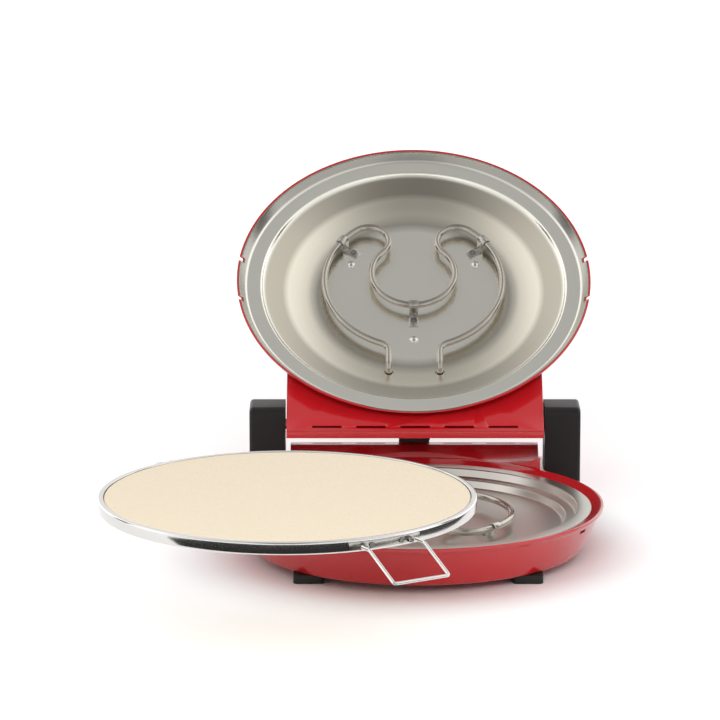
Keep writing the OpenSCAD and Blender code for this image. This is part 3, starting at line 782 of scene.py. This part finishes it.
@dataclass
class HeatingSet:
    """One heating tube with its straps, screws and rivets, on the base's floor or in the lid."""

    shop: Workshop
    body: str
    name: str
    leg: float
    tube_r: float = 3.2
    bow_r: float = 88.5
    ear_r: float = 20.0
    ear_x: float = 44.0
    ear_y: float = -62.0
    loop_y: float = -19.0
    leg_x: float = 25.0
    leg_r: float = 12.0
    leg_end: float = 104.0
    leg_turn: float = 8.0
    strap_angle: float = 37.0
    strap_edge: float = 0.35
    screw_u: float = 14.0
    strap_t: float = 1.2
    screw_head: tuple[float, float] = (3.2, 1.6)
    rivet_head: tuple[float, float] = (4.4, 2.3)
    hole_gap: float = 1.2
    rivets: tuple[tuple[float, float], ...] = ((-62.0, -40.0), (62.0, -40.0), (0.0, 60.0))

    def bends(self) -> tuple[float, float, float, float]:
        """Work out the loop's radius, the bow's centre, and where the leg's bend meets the bow.

        Returns:
            Loop radius, bow centre Y, and the leg bend's centre X and Y.
        """
        loop_r = math.hypot(self.ear_x, self.ear_y - self.loop_y) - self.ear_r
        bow_y = self.ear_y + math.sqrt((self.bow_r - self.ear_r) ** 2 - self.ear_x ** 2)
        bend_x = self.leg_x + self.leg_r
        bend_y = bow_y + math.sqrt((self.bow_r + self.leg_r) ** 2 - bend_x ** 2)
        return loop_r, bow_y, bend_x, bend_y

    def route(self) -> list[Point]:
        """Follow the tube from one leg round to the other.

        Returns:
            Points of the tube's centre, in mm, with the tube's plane at height zero.
        """
        loop_r, bow_y, bend_x, bend_y = self.bends()
        join = math.degrees(math.atan2(self.ear_y - self.loop_y, self.ear_x))
        bow = math.degrees(math.atan2(self.ear_y - bow_y, self.ear_x))
        bend = math.degrees(math.atan2(bend_y - bow_y, bend_x))
        points: list[Point] = [(self.leg_x, self.leg_end, -self.leg_turn - self.leg)]
        turn_steps = 8
        for k in range(turn_steps + 1):
            a = math.radians(90 * k / turn_steps)
            points.append((self.leg_x, self.leg_end - self.leg_turn * (1 - math.cos(a)),
                           -self.leg_turn * (1 - math.sin(a))))
        for cx, cy, r, a0, a1, steps in (
                (bend_x, bend_y, self.leg_r, 180, 180 + bend, 8),
                (0, bow_y, self.bow_r, bend, bow, 60),
                (self.ear_x, self.ear_y, self.ear_r, bow, join - 180, 28),
                (0, self.loop_y, loop_r, join, 90, 36)):
            for k in range(steps):
                a = math.radians(a0 + (a1 - a0) * k / steps)
                points.append((cx + r * math.cos(a), cy + r * math.sin(a), 0))
        middle = (0.0, self.loop_y + loop_r, 0.0)
        return points + [middle] + [(-x, y, z) for x, y, z in reversed(points)]

    def strap_places(self) -> list[tuple[float, float, float]]:
        """Give X, Y and turn in degrees of the three straps."""
        loop_r, bow_y, _, _ = self.bends()
        a = math.radians(-self.strap_angle)
        x, y = self.bow_r * math.cos(a), bow_y + self.bow_r * math.sin(a)
        return [(-x, y, self.strap_angle), (x, y, 180 - self.strap_angle),
                (0, self.loop_y + loop_r, 90)]

    def build(self, place: Matrix, tree_turn: Euler, tree_shift: Vector, flip: int = 1) -> None:
        """Build the set.

        Args:
            place: Transform from the floor's frame, in metres.
            tree_turn: Turn of the floor's frame for the trees.
            tree_shift: Shift of the floor's frame for the trees, in metres.
            flip: The sign of Y in the trees' own frame, because a turn can't mirror.
        """
        shop = self.shop
        stand = shop.sizes.tube_stand
        line = [tuple(place @ (Vector((x, y, z + stand)) * MM) / MM) for x, y, z in self.route()]
        tube = shop.tube.grow(f"{self.name}_heating_tube", line, True, {
            "Radius": self.tube_r * MM * SKIN, "Sides": 32}, shop.sheath)
        shop.ride(tube, self.body, Slot.TUBE, f"{self.name}_element")
        for side in ("left", "right", "centre"):
            node = f"{self.name}_clip_{side}"
            shop.dress(f"{node}_strap", node, shop.satin, self.strap_edge, self.body, Slot.STEEL)
        spots = []
        for x, y, turn in self.strap_places():
            a = math.radians(turn)
            spots.append((x + self.screw_u * math.cos(a),
                          flip * (y + self.screw_u * math.sin(a)), self.strap_t))
        placing = {"Turn": tree_turn, "Shift": tree_shift}
        head, height = self.screw_head
        screws = shop.screw.grow(f"{self.name}_strap_screw_heads", spots, False, {
            "Head": head * MM, "Height": height * MM, **placing}, shop.satin)
        shop.ride(screws, self.body, Slot.STEEL)
        spots = [(x, flip * y, 0.0) for x, y in self.rivets]
        head, height = self.rivet_head
        heads = shop.rivet.grow(f"{self.name}_rivet_heads", spots, False, {
            "Head": head * MM, "Height": height * MM, **placing}, shop.bright)
        shop.ride(heads, self.body, Slot.STEEL, f"{self.name}_rivets")
        shop.paint(shop.satin, f"{self.name}_clip_screws")
        shop.paint(shop.ceramic, f"{self.name}_terminals")

    def leg_cutters(self, low: float, high: float) -> list[bpy.types.Mesh]:
        """Make cutters for the liner's two leg holes.

        Args:
            low: Lower end, in mm.
            high: Upper end, in mm.

        Returns:
            Two closed meshes in the floor's frame.
        """
        radius = self.tube_r + self.hole_gap
        return [rod(radius, low, high, (s.value * self.leg_x, self.leg_end)) for s in Side]


@dataclass
class Base:
    """The bowl-shaped base with its liner, housing, posts and feet."""

    shop: Workshop
    post_w: float = 34.5
    post_d: float = 48.0
    post_h: float = 58.5
    post_corner: float = 8.0
    post_round: float = 3.6
    wall: float = 1.2
    low_r: float = 158.0
    plate_r: float = 120.0
    liner_t: float = 0.8
    well_r: float = 150.0
    step_r: float = 139.0
    vent_angle: float = 27.0
    vent_w: float = 12.0
    vent_drop: float = 10.5
    vent_slit: float = 3.2

    def shell(self) -> None:
        """Turn the enamelled bowl with its rolled rim, and cut its two slits."""
        s = self.shop.sizes
        t, low_r, seat, lap = self.wall, self.low_r, s.seat_z - self.liner_t, s.seat_r - 5
        mesh = turned([
            (lap, seat, 0), (s.seat_r, seat, 0.2), (s.seat_r + 0.2, s.seat_z, 0.5),
            (s.rim_r - 2, s.rim_z, 1.2), (s.rim_r - 0.6, s.rim_z, 0.6),
            (s.rim_r, s.rim_z - 0.6, 0.6), (s.rim_r, s.rim_z - 3, 1.4),
            (s.rim_r - 3.4, s.rim_z - 6, 1.6), (low_r + 0.4, s.base_z + 5.5, 2.0),
            (low_r - 1.6, s.base_z + 1.6, 1.6), (low_r - 4.4, s.base_z, 1.2),
            (self.plate_r, s.base_z, 0), (self.plate_r, s.base_z + t, 0),
            (low_r - 4.8, s.base_z + t, 0.8), (low_r - 2.7, s.base_z + 2.4, 1.0),
            (low_r - 0.8, s.base_z + 6, 1.0), (s.rim_r - 4.6, s.rim_z - 5.4, 1.0),
            (s.rim_r - t, s.rim_z - 2.4, 0.6), (s.rim_r - t, s.rim_z - t, 0),
            (s.rim_r - 2.2, s.rim_z - t, 0), (s.seat_r + 0.4, seat - t, 0),
            (lap, seat - t, 0)], 256)
        piece = new_piece("base_bowl", mesh, self.shop.enamel)
        slits = []
        vent_z, past = s.rim_z - self.vent_drop, 30
        for angle in (-self.vent_angle, 180 + self.vent_angle):
            slit = block((low_r, -self.vent_w / 2, vent_z),
                         (low_r + past, self.vent_w / 2, vent_z + self.vent_slit))
            slit.transform(Matrix.Rotation(math.radians(angle), 4, "Z"))
            slits.append(slit)
        cut(piece, slits)
        self.shop.ride(piece, "base", Slot.RED, "base_shell")

    def liner(self, heating: HeatingSet) -> None:
        """Turn the spun liner and cut the heating tube's leg holes.

        Args:
            heating: The heating set that stands on it.
        """
        s = self.shop.sizes
        f, t, well_r, step_r = s.base_floor, self.liner_t, self.well_r, self.step_r
        ledge = f + 7.2
        mesh = turned([
            (0, f, 0), (step_r - 4, f, 3), (step_r - 2.5, f + 0.6, 0.6), (step_r, f + 6.5, 0.6),
            (step_r + 1, ledge, 0.6), (well_r - 3, ledge, 0.9), (well_r - 1.6, f + 8, 0.8),
            (well_r, s.seat_z - 0.8, 0.6), (well_r + 1, s.seat_z, 0.6),
            (s.seat_r, s.seat_z, 0.2), (s.seat_r, s.seat_z - t, 0),
            (well_r + 1.4, s.seat_z - t, 0), (well_r + 0.8, s.seat_z - 1.2, 0),
            (well_r - 0.8, f + 7.4, 0), (well_r - 2.6, ledge - t, 0), (step_r + 1.4, ledge - t, 0),
            (step_r + 0.7, f + 6, 0), (step_r - 1.8, f, 0), (step_r - 3.6, f - t, 0),
            (0, f - t, 0)], 256)
        piece = new_piece("base_spun_liner", mesh, self.shop.bowl)
        cut(piece, heating.leg_cutters(f - 3, f + 3))
        self.shop.ride(piece, "base", Slot.LINER, "base_liner")

    def posts(self) -> None:
        """Mould the two posts, rounded on their outer faces."""
        arc_steps, near = 8, 0.01
        s = self.shop.sizes
        top = s.rim_z + self.post_h
        y0, y1 = s.hinge_y - self.post_d / 2, s.hinge_y + self.post_d / 2
        c = self.post_corner
        outline = [(y0, s.base_z), (y1, s.base_z)]
        for cy, a0 in ((y1 - c, 0), (y0 + c, 90)):
            for k in range(arc_steps + 1):
                a = math.radians(a0 + 90 * k / arc_steps)
                outline.append((cy + c * math.cos(a), top - c + c * math.sin(a)))
        for side in Side:
            inner, outer = side.value * s.housing_w, side.value * (s.housing_w + self.post_w)
            mesh = extruded(outline, inner, outer)
            weight = mesh.attributes.new("bevel_weight_edge", "FLOAT", "EDGE")
            for i, edge in enumerate(mesh.edges):
                ends = [abs(mesh.vertices[v].co.x / MM - outer) < near for v in edge.vertices]
                weight.data[i].value = 1.0 if all(ends) else 0.0
            word = side.name.lower()
            piece = new_piece(f"post_{word}", mesh, self.shop.phenolic)
            step = piece.modifiers.new("edges", "BEVEL")
            step.width, step.segments = self.post_round * MM, 5
            step.limit_method = "WEIGHT"
            applied(piece)
            self.shop.ride(piece, "base", Slot.PLASTIC, f"hinge_post_{word}")

    def build(self) -> None:
        """Build the base."""
        shop = self.shop
        s = shop.sizes
        heating = HeatingSet(shop, "base", "lower", 16.0)
        self.shell()
        self.liner(heating)
        floor = Vector((0, 0, s.base_floor * MM))
        heating.build(Matrix.Translation(floor), Euler((0, 0, 0)), floor)
        self.posts()
        shop.dress("rear_box", "rear_housing", shop.enamel, 0.7, "base", Slot.RED)
        for spot in ("front_left", "front_right", "rear_left", "rear_right"):
            shop.dress(f"rubber_foot_{spot}", f"foot_{spot}", shop.rubber, 0.8, "base", Slot.RUBBER)
        shop.dress("lead_gland", "cord_gland", shop.rubber, 0.5, "base", Slot.RUBBER)
        shop.paint(shop.satin, "bottom_plate", "foot_screws", "post_screws")
        shop.paint(shop.ceramic, "terminal_block")


@dataclass
class WiringSleeve:
    """The flexible sleeve between the housing and the lid."""

    shop: Workshop
    half: float = 15.0
    thick: float = 7.0
    path: tuple[tuple[float, float], ...] = (
        (-2.2, -1.0), (6.0, 1.0), (8.5, 9.0), (3.0, 18.0), (-8.0, 23.0), (-20.0, 23.5),
        (-31.0, 21.5), (-38.5, 25.0), (-43.5, 33.0))
    steps: int = 6
    round_steps: int = 8
    skin: float = 0.98

    def line(self) -> list[Vector]:
        """Run a smooth curve through the path's points.

        Returns:
            Points in Y and Z, in mm.
        """
        p = [Vector(q) for q in self.path]
        p = [2 * p[0] - p[1]] + p + [2 * p[-1] - p[-2]]
        out = []
        for i in range(1, len(p) - 2):
            for k in range(self.steps):
                t = k / self.steps
                a, b, c, d = p[i - 1], p[i], p[i + 1], p[i + 2]
                out.append(0.5 * (2 * b + (c - a) * t + (2 * a - 5 * b + 4 * c - d) * t * t
                                  + (3 * b - a - 3 * c + d) * t ** 3))
        return out + [p[-2]]

    def build(self) -> None:
        """Build the sleeve and bend it between the base and the lid."""
        s = self.shop.sizes
        line = self.line()
        r = self.thick / 2 * self.skin
        section = []
        for side in (Side.RIGHT, Side.LEFT):
            for k in range(self.round_steps + 1):
                a = math.radians(-90 * side.value + 180 * k / self.round_steps)
                section.append((side.value * (self.half - r) + r * math.cos(a), r * math.sin(a)))
        work = bmesh.new()
        rings = []
        for i, at in enumerate(line):
            way = (line[min(i + 1, len(line) - 1)] - line[max(i - 1, 0)]).normalized()
            rings.append([work.verts.new((x * MM, (s.housing_y + at.x - way.y * v) * MM,
                                          (s.rim_z + at.y + way.x * v) * MM)) for x, v in section])
        for ring, after in zip(rings, rings[1:]):
            for k in range(len(section)):
                n = (k + 1) % len(section)
                work.faces.new((ring[k], ring[n], after[n], after[k]))
        work.faces.new(rings[0])
        work.faces.new(list(reversed(rings[-1])))
        mesh = closed_mesh(work, "sleeve")
        piece = new_piece("flexible_sleeve", mesh, self.shop.rubber)
        smooth(mesh, 50)
        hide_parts("wiring_sleeve")
        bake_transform(piece)
        LOG.info("%s bends between base and lid", piece.name)


@dataclass
class Lid:
    """The domed lid with its liner, rear panel, grip and controls."""

    shop: Workshop
    knob_x: float = 55.0
    knob_y: float = 112.0
    knob_r: float = 16.0
    rib_count: int = 28
    rib_size: tuple[float, float, float] = (1.0, 1.2, 2.4)
    rib_z: float = 2.0
    mark_count: int = 24
    mark_size: tuple[float, float, float] = (3.2, 0.8, 0.16)
    mark_z: float = 0.05
    mark_gap: float = 4.0
    liner_t: float = 0.8
    flat_r: float = 94.0
    inner_step: float = 112.0
    outer_step: float = 130.0
    dome_r: float = 149.4
    edge_r: float = 151.0
    wall: float = 1.7
    slope: float = 0.95
    skirt_h: float = 2.0
    notch_y: float = 26.0
    notch_half: float = 3.0
    notch_h: float = 5.2
    relief_y: float = 20.0

    def radius(self, height: float) -> float:
        """Give the lid's outer radius at a height above its rim, in mm."""
        return self.shop.sizes.rim_r - self.slope * (height - self.skirt_h)

    def liner(self, heating: HeatingSet) -> None:
        """Turn the spun liner, and cut its edge, leg holes and swing relief.

        Args:
            heating: The heating set that hangs in it.
        """
        s = self.shop.sizes
        t, g = self.liner_t, self.wall
        fh, lh = s.flat_h, s.flange_h
        rim = s.rim_r - g
        mesh = turned([
            (0, fh + t, 0), (self.flat_r, fh + t, 8), (self.inner_step, fh - 2.2, 8),
            (self.outer_step, fh - 7, 8), (self.dome_r, lh + 3 + t, 2),
            (self.edge_r + 0.6, lh + t, 1), (self.radius(lh + t) - g, lh + t, 0.4),
            (rim, self.skirt_h, 0), (rim, 0.8, 0.2), (rim - t, 0.8, 0.2),
            (rim - t, self.skirt_h, 1), (self.radius(lh) - g - t, lh, 1.5),
            (self.edge_r, lh, 1.2), (self.dome_r - 0.6, lh + 3, 2.5),
            (self.outer_step, fh - 8, 9), (self.inner_step, fh - 3.1, 9), (self.flat_r, fh, 9),
            (0, fh, 0)], 256)
        piece = new_piece("lid_spun_liner", mesh, self.shop.dome)
        below, past, relief_steps = -1.0, 10, 12
        tools = []
        for side in Side:
            for leg in Side:
                x, y = side.value * s.rim_r, leg.value * self.notch_y
                tools.append(block((x - past, y - self.notch_half, below),
                                   (x + past, y + self.notch_half, self.notch_h)))
        relief = [(s.hinge_y, below), (s.hinge_y + self.relief_y, below)]
        for k in range(relief_steps, -1, -1):
            y = self.relief_y * k / relief_steps
            relief.append((s.hinge_y + y, s.hinge_h - math.sqrt(s.swing_r ** 2 - y * y)))
        tools.append(extruded(relief, -s.rim_r, s.rim_r))
        for tool in heating.leg_cutters(-3, 8):
            tool.transform(s.hang())
            tool.flip_normals()
            tools.append(tool)
        cut(piece, tools)
        piece.data.transform(s.lid())
        self.shop.ride(piece, "lid", Slot.LINER, "lid_liner")

    def controls(self) -> None:
        """Dress the two dials, with ribs round their skirts and plain marks round them."""
        shop = self.shop
        s = shop.sizes
        turn = Euler((math.radians(-s.open_angle), 0, 0))
        for side, dial in ((Side.LEFT, "thermostat"), (Side.RIGHT, "timer")):
            body = f"{dial}_dial"
            shop.dress(f"{dial}_dial_cap", f"{dial}_knob", shop.phenolic, 0.5, body, Slot.PLASTIC)
            for word, count, reach, size, rise, material, carrier, slot in (
                    ("ribs", self.rib_count, self.knob_r - 0.3, self.rib_size, self.rib_z,
                     shop.phenolic, body, Slot.PLASTIC),
                    ("marks", self.mark_count, self.knob_r + self.mark_gap, self.mark_size,
                     self.mark_z, shop.ceramic, "lid", Slot.CERAMIC)):
                spot = Vector((side.value * self.knob_x, self.knob_y, s.lid_h + rise)) * MM
                ring = shop.ring.grow(f"{dial}_dial_{word}", [(0, 0, 0)], False, {
                    "Count": count, "Reach": reach * MM, "Bar": Vector(size) * MM,
                    "Turn": turn, "Shift": s.lid() @ spot}, material)
                shop.ride(ring, carrier, slot)
            shop.paint(shop.case, dial)
        shop.paint(shop.lens, "pilot_lamps")

    def build(self) -> None:
        """Build the lid."""
        shop = self.shop
        s = shop.sizes
        heating = HeatingSet(shop, "lid", "upper", 14.0)
        self.liner(heating)
        place = s.lid() @ s.hang()
        turn = Euler((math.radians(180 - s.open_angle), 0, 0))
        heating.build(place, turn, place @ Vector((0, 0, 0)), -1)
        shop.dress("lid_dome", "lid_shell", shop.enamel, 0.5, "lid", Slot.RED)
        shop.dress("rear_panel", "lid_rear_panel", shop.enamel, 0.3, "lid", Slot.RED, 2)
        shop.dress("lid_grip", "grip", shop.phenolic, 0.6, "lid", Slot.PLASTIC)
        self.controls()
        shop.paint(shop.satin, "hinge_pin_left", "hinge_pin_right", "grip_screws")


@dataclass
class StoneSet:
    """The baking stone in its steel band, with brackets and folding wire handles."""

    shop: Workshop
    at: Point = (-114.7, -356.9, 133.0)
    band_r: float = 161.0
    band_h: float = 11.0
    band_w: float = 5.0
    band_t: float = 1.2
    flange_w: float = 15.0
    flange_t: float = 1.0
    skin: float = 0.05
    gap: float = 0.4
    front_angle: float = -59.0
    wire_r: float = 1.4
    wire_half: float = 26.0
    end_turn: float = 6.5
    wire_reach: float = 52.0
    wire_drop: float = 19.0
    ear_u: float = 164.5
    ear_w: float = 6.0
    crank_u: float = 178.0

    def place(self) -> Matrix:
        """Give the transform from the stone's own frame to where it lies."""
        return Matrix.Translation(Vector(self.at) * MM)

    def wire(self) -> list[Vector]:
        """Round the corners of the handle's route.

        Returns:
            Points of the wire's centre in the band's frame, in mm.
        """
        tip = self.ear_u + self.wire_reach - self.skin
        half = [Vector((self.ear_u, self.wire_half - self.end_turn, self.ear_w)),
                Vector((self.ear_u, self.wire_half, self.ear_w)),
                Vector((self.crank_u, self.wire_half, self.ear_w)),
                Vector((tip, self.wire_half, self.ear_w - self.wire_drop))]
        corners = half + [Vector((p.x, -p.y, p.z)) for p in reversed(half)]
        reach, steps = self.wire_r + 1.0, 8
        out = [corners[0]]
        for i in range(1, len(corners) - 1):
            here = corners[i]
            a = here + (corners[i - 1] - here).normalized() * reach
            b = here + (corners[i + 1] - here).normalized() * reach
            for k in range(steps + 1):
                t = k / steps
                out.append((1 - t) ** 2 * a + 2 * t * (1 - t) * here + t * t * b)
        return out + [corners[-1]]

    def build(self) -> None:
        """Build the stone set."""
        shop = self.shop
        r, h, w, t = self.band_r - self.skin, self.band_h, self.band_w, self.band_t
        stone_r = r - w - self.gap
        # The stone's underside stands just clear of the band's flange, which turns under it.
        clear = 0.03
        f, low = self.flange_t, self.flange_t + clear
        stone = [(0, low, 0), (stone_r - 0.6, low, 0.4), (stone_r, 1.6, 0.4),
                 (stone_r, h - 1.2, 0.5), (stone_r - 0.8, h - 0.4, 0.6), (0, h - 0.4, 0)]
        band = [(r - self.flange_w, 0, 0.2), (r - 3, 0, 1.6), (r, 0.8, 1.6), (r, h - 0.8, 1.0),
                (r - 0.8, h, 0.8), (r - w, h, 0.5), (r - w, h - t, 0.2), (r - t - 0.2, h - t, 0),
                (r - t, h - t - 0.2, 0), (r - t, 1.6, 0), (r - 3.2, f, 0.4),
                (r - self.flange_w, f, 0.2)]
        for name, outline, material, body, slot, node in (
                ("baking_stone", stone, shop.stone, "stone", Slot.STONE, "pizza_stone"),
                ("rolled_band", band, shop.bright, "band", Slot.STEEL, "stone_band")):
            mesh = turned(outline, 256)
            mesh.transform(self.place())
            piece = new_piece(name, mesh, material)
            smooth(mesh)
            shop.ride(piece, body, slot, node)
        for word, angle in (("front", self.front_angle), ("rear", self.front_angle + 180)):
            shop.dress(f"handle_bracket_{word}", f"bracket_{word}", shop.satin, 0.3, "band",
                       Slot.STEEL, 2)
            turn = self.place() @ Matrix.Rotation(math.radians(angle), 4, "Z")
            line = [tuple(turn @ (p * MM) / MM) for p in self.wire()]
            wire = shop.tube.grow(f"wire_handle_{word}", line, True, {
                "Radius": self.wire_r * MM * SKIN, "Sides": 20}, shop.bright)
            shop.ride(wire, f"{word}_wire", Slot.STEEL, f"handle_{word}")
        shop.paint(shop.satin, "bracket_rivets")


@dataclass
class Studio:
    """The camera, floor and soft light."""

    lens: float = 209.9
    sensor: float = 36.0
    place: Point = (-0.0531, -3.8119, 1.0128)
    pitch: float = 77.72
    floor_size: float = 14.0
    # Glow that the camera sees under the object, round it and far from it, and where it changes.
    floor_lift: tuple[float, float, float] = (0.0, 0.3, 0.6)
    near_change: tuple[float, float] = (0.15, 0.26)
    far_change: tuple[float, float] = (0.6, 1.9)
    # Share of white that metal mirrors from above and in front, and what the sides add to it.
    above: float = 0.42
    ahead: float = 0.6
    beside: float = 0.75
    diffuse: float = 0.62

    def camera(self) -> None:
        """Place the camera that the photograph was fitted with."""
        data = bpy.data.cameras.new("camera")
        data.lens, data.sensor_width = self.lens, self.sensor
        camera = bpy.data.objects.new("camera", data)
        camera.location = self.place
        camera.rotation_euler = (math.radians(self.pitch), 0, 0)
        bpy.context.scene.collection.objects.link(camera)
        bpy.context.scene.camera = camera

    def floor(self) -> None:
        """Lay a pale floor that shows white to the camera and keeps the shadow."""
        half = self.floor_size / 2
        mesh = bpy.data.meshes.new("floor")
        mesh.from_pydata([(-half, -half, 0), (half, -half, 0), (half, half, 0), (-half, half, 0)],
                         [], [(0, 1, 2, 3)])
        material = bpy.data.materials.new("pale_floor")
        material.use_nodes = True
        tree = material.node_tree
        tree.nodes.clear()
        seen = add_node(tree, "ShaderNodeLightPath")
        paper = add_node(tree, "ShaderNodeBsdfDiffuse", {"Color": linear("FAFAFA")})
        glow = add_node(tree, "ShaderNodeEmission", {"Color": linear("FFFFFF")})
        either = add_node(tree, "ShaderNodeMath", {"operation": "MAXIMUM"}, {
            0: seen.outputs["Is Camera Ray"], 1: seen.outputs["Is Glossy Ray"]})
        reach = add_node(tree, "ShaderNodeVectorMath", {"operation": "LENGTH"}, {
            0: add_node(tree, "ShaderNodeTexCoord").outputs["Object"]})
        near, middle, far = self.floor_lift
        parts = [add_node(tree, "ShaderNodeMapRange", {
            "interpolation_type": "SMOOTHSTEP", "From Min": change[0], "From Max": change[1],
            "To Min": start, "To Max": end}, {"Value": reach.outputs["Value"]}).outputs[0]
            for change, start, end in (
                (self.near_change, near, middle), (self.far_change, 0.0, far - middle))]
        fade = add_node(tree, "ShaderNodeMath", {"operation": "ADD"}, dict(enumerate(parts)))
        lift = add_node(tree, "ShaderNodeMath", {"operation": "MULTIPLY"}, {
            0: either.outputs[0], 1: fade.outputs[0]})
        tree.links.new(lift.outputs[0], glow.inputs["Strength"])
        both = add_node(tree, "ShaderNodeAddShader", links={
            0: paper.outputs[0], 1: glow.outputs[0]})
        add_node(tree, "ShaderNodeOutputMaterial", links={"Surface": both.outputs[0]})
        floor = new_piece("floor", mesh, material)

    def world(self) -> None:
        """Light the scene from all round, with a white background for the camera and for metal."""
        world = bpy.data.worlds.new("studio")
        bpy.context.scene.world = world
        world.use_nodes = True
        tree = world.node_tree
        tree.nodes.clear()
        seen = add_node(tree, "ShaderNodeLightPath")
        dim, white, mirror = (add_node(tree, "ShaderNodeBackground", {
            "Color": linear("FFFFFF"), "Strength": level}) for level in (self.diffuse, 1.0, 1.0))
        way = add_node(tree, "ShaderNodeSeparateXYZ", links={
            0: add_node(tree, "ShaderNodeNewGeometry").outputs["Incoming"]})
        side = add_node(tree, "ShaderNodeMath", {"operation": "ABSOLUTE"}, {0: way.outputs["X"]})
        # Each row has a share of the mirrored direction, where it starts and ends to count, and
        # the brightness at these two.
        wings, ceiling, front = (add_node(tree, "ShaderNodeMapRange", {
            "interpolation_type": "SMOOTHSTEP", "From Min": low, "From Max": high,
            "To Min": start, "To Max": end}, {"Value": value}).outputs[0]
            for value, low, high, start, end in (
                (side.outputs[0], 0.08, 0.38, 0.0, self.beside),
                (way.outputs["Z"], -0.9, -0.45, self.above, 1.0),
                (way.outputs["Y"], 0.1, 0.42, 1.0, self.ahead)))
        level = add_node(tree, "ShaderNodeMath", {"operation": "ADD"}, {0: wings, 1: ceiling})
        shade = add_node(tree, "ShaderNodeMath", {"operation": "MULTIPLY"}, {
            0: level.outputs[0], 1: front})
        tree.links.new(shade.outputs[0], mirror.inputs["Strength"])
        glossy = add_node(tree, "ShaderNodeMixShader", links={
            0: seen.outputs["Is Glossy Ray"], 1: dim.outputs[0], 2: mirror.outputs[0]})
        either = add_node(tree, "ShaderNodeMath", {"operation": "MAXIMUM"}, {
            0: seen.outputs["Is Camera Ray"], 1: seen.outputs["Is Transmission Ray"]})
        mixed = add_node(tree, "ShaderNodeMixShader", links={
            0: either.outputs[0], 1: glossy.outputs[0], 2: white.outputs[0]})
        add_node(tree, "ShaderNodeOutputWorld", links={"Surface": mixed.outputs[0]})

    def lamp(self, name: str, place: Point, aim: Point, size: tuple[float, float],
             power: float) -> None:
        """Hang a soft box that bright metal doesn't mirror.

        Args:
            name: Its name.
            place: Where it hangs, in metres.
            aim: The point that it faces.
            size: Its width and height, in metres.
            power: Its power, in watts.
        """
        data = bpy.data.lights.new(name, "AREA")
        data.shape, data.size, data.size_y, data.energy = "RECTANGLE", size[0], size[1], power
        lamp = bpy.data.objects.new(name, data)
        lamp.location = place
        lamp.rotation_euler = (Vector(aim) - Vector(place)).to_track_quat("-Z", "Y").to_euler()
        lamp.visible_glossy = False
        bpy.context.scene.collection.objects.link(lamp)

    def card(self, name: str, place: Point, aim: Point, size: tuple[float, float],
             colour: str = "060606") -> None:
        """Set up a dark card that only mirrors see, to give bright metal its dark lines.

        Args:
            name: Its name.
            place: Its centre, in metres.
            aim: The point that it faces.
            size: Its width and height, in metres.
            colour: Its colour, as six hex digits.
        """
        x, y = size[0] / 2, size[1] / 2
        turn = (Vector(aim) - Vector(place)).to_track_quat("-Z", "Y").to_matrix().to_4x4()
        mesh = bpy.data.meshes.new(name)
        mesh.from_pydata([(-x, -y, 0), (x, -y, 0), (x, y, 0), (-x, y, 0)], [], [(0, 1, 2, 3)])
        mesh.transform(Matrix.Translation(place) @ turn)
        cloth = Finish(f"{name}_cloth", colour, 0.9).make()
        card = new_piece(name, mesh, cloth)
        card.visible_camera = card.visible_diffuse = card.visible_shadow = False

    def build(self) -> None:
        """Set up the studio."""
        self.camera()
        self.floor()
        self.world()
        middle = (0, 0, 0.1)
        self.lamp("overhead", (0.0, 0.2, 2.4), middle, (2.2, 1.8), 5.0)
        self.lamp("high_front", (0.0, -3.2, 1.9), middle, (2.4, 0.9), 48.0)
        self.lamp("left_front", (-2.0, -1.6, 1.6), middle, (1.2, 1.4), 5.0)
        self.lamp("right_front", (2.2, -1.2, 1.4), (0, 0, 0.15), (1.0, 1.4), 4.0)
        self.card("floor_card", (-0.1, -0.96, 0.004), (-0.1, -0.96, -1), (1.3, 0.68))
        self.card("right_floor_card", (0.68, -0.35, 0.004), (0.68, -0.35, -1), (0.5, 1.1), "2E2E2C")
        self.card("left_card", (-1.6, 0.3, 0.6), (0, 0, 0.2), (0.5, 1.0))
        self.card("right_card", (1.6, 0.3, 0.6), (0, 0, 0.2), (0.5, 1.0))
        bpy.context.scene.view_settings.view_transform = "Standard"


def main() -> None:
    """Build the studio and every sub-assembly."""
    logging.basicConfig(level=logging.INFO, format="%(name)s %(message)s")
    Studio().build()
    shop = Workshop(Frame())
    Base(shop).build()
    WiringSleeve(shop).build()
    Lid(shop).build()
    StoneSet(shop).build()


if __name__ == "__main__":
    main()
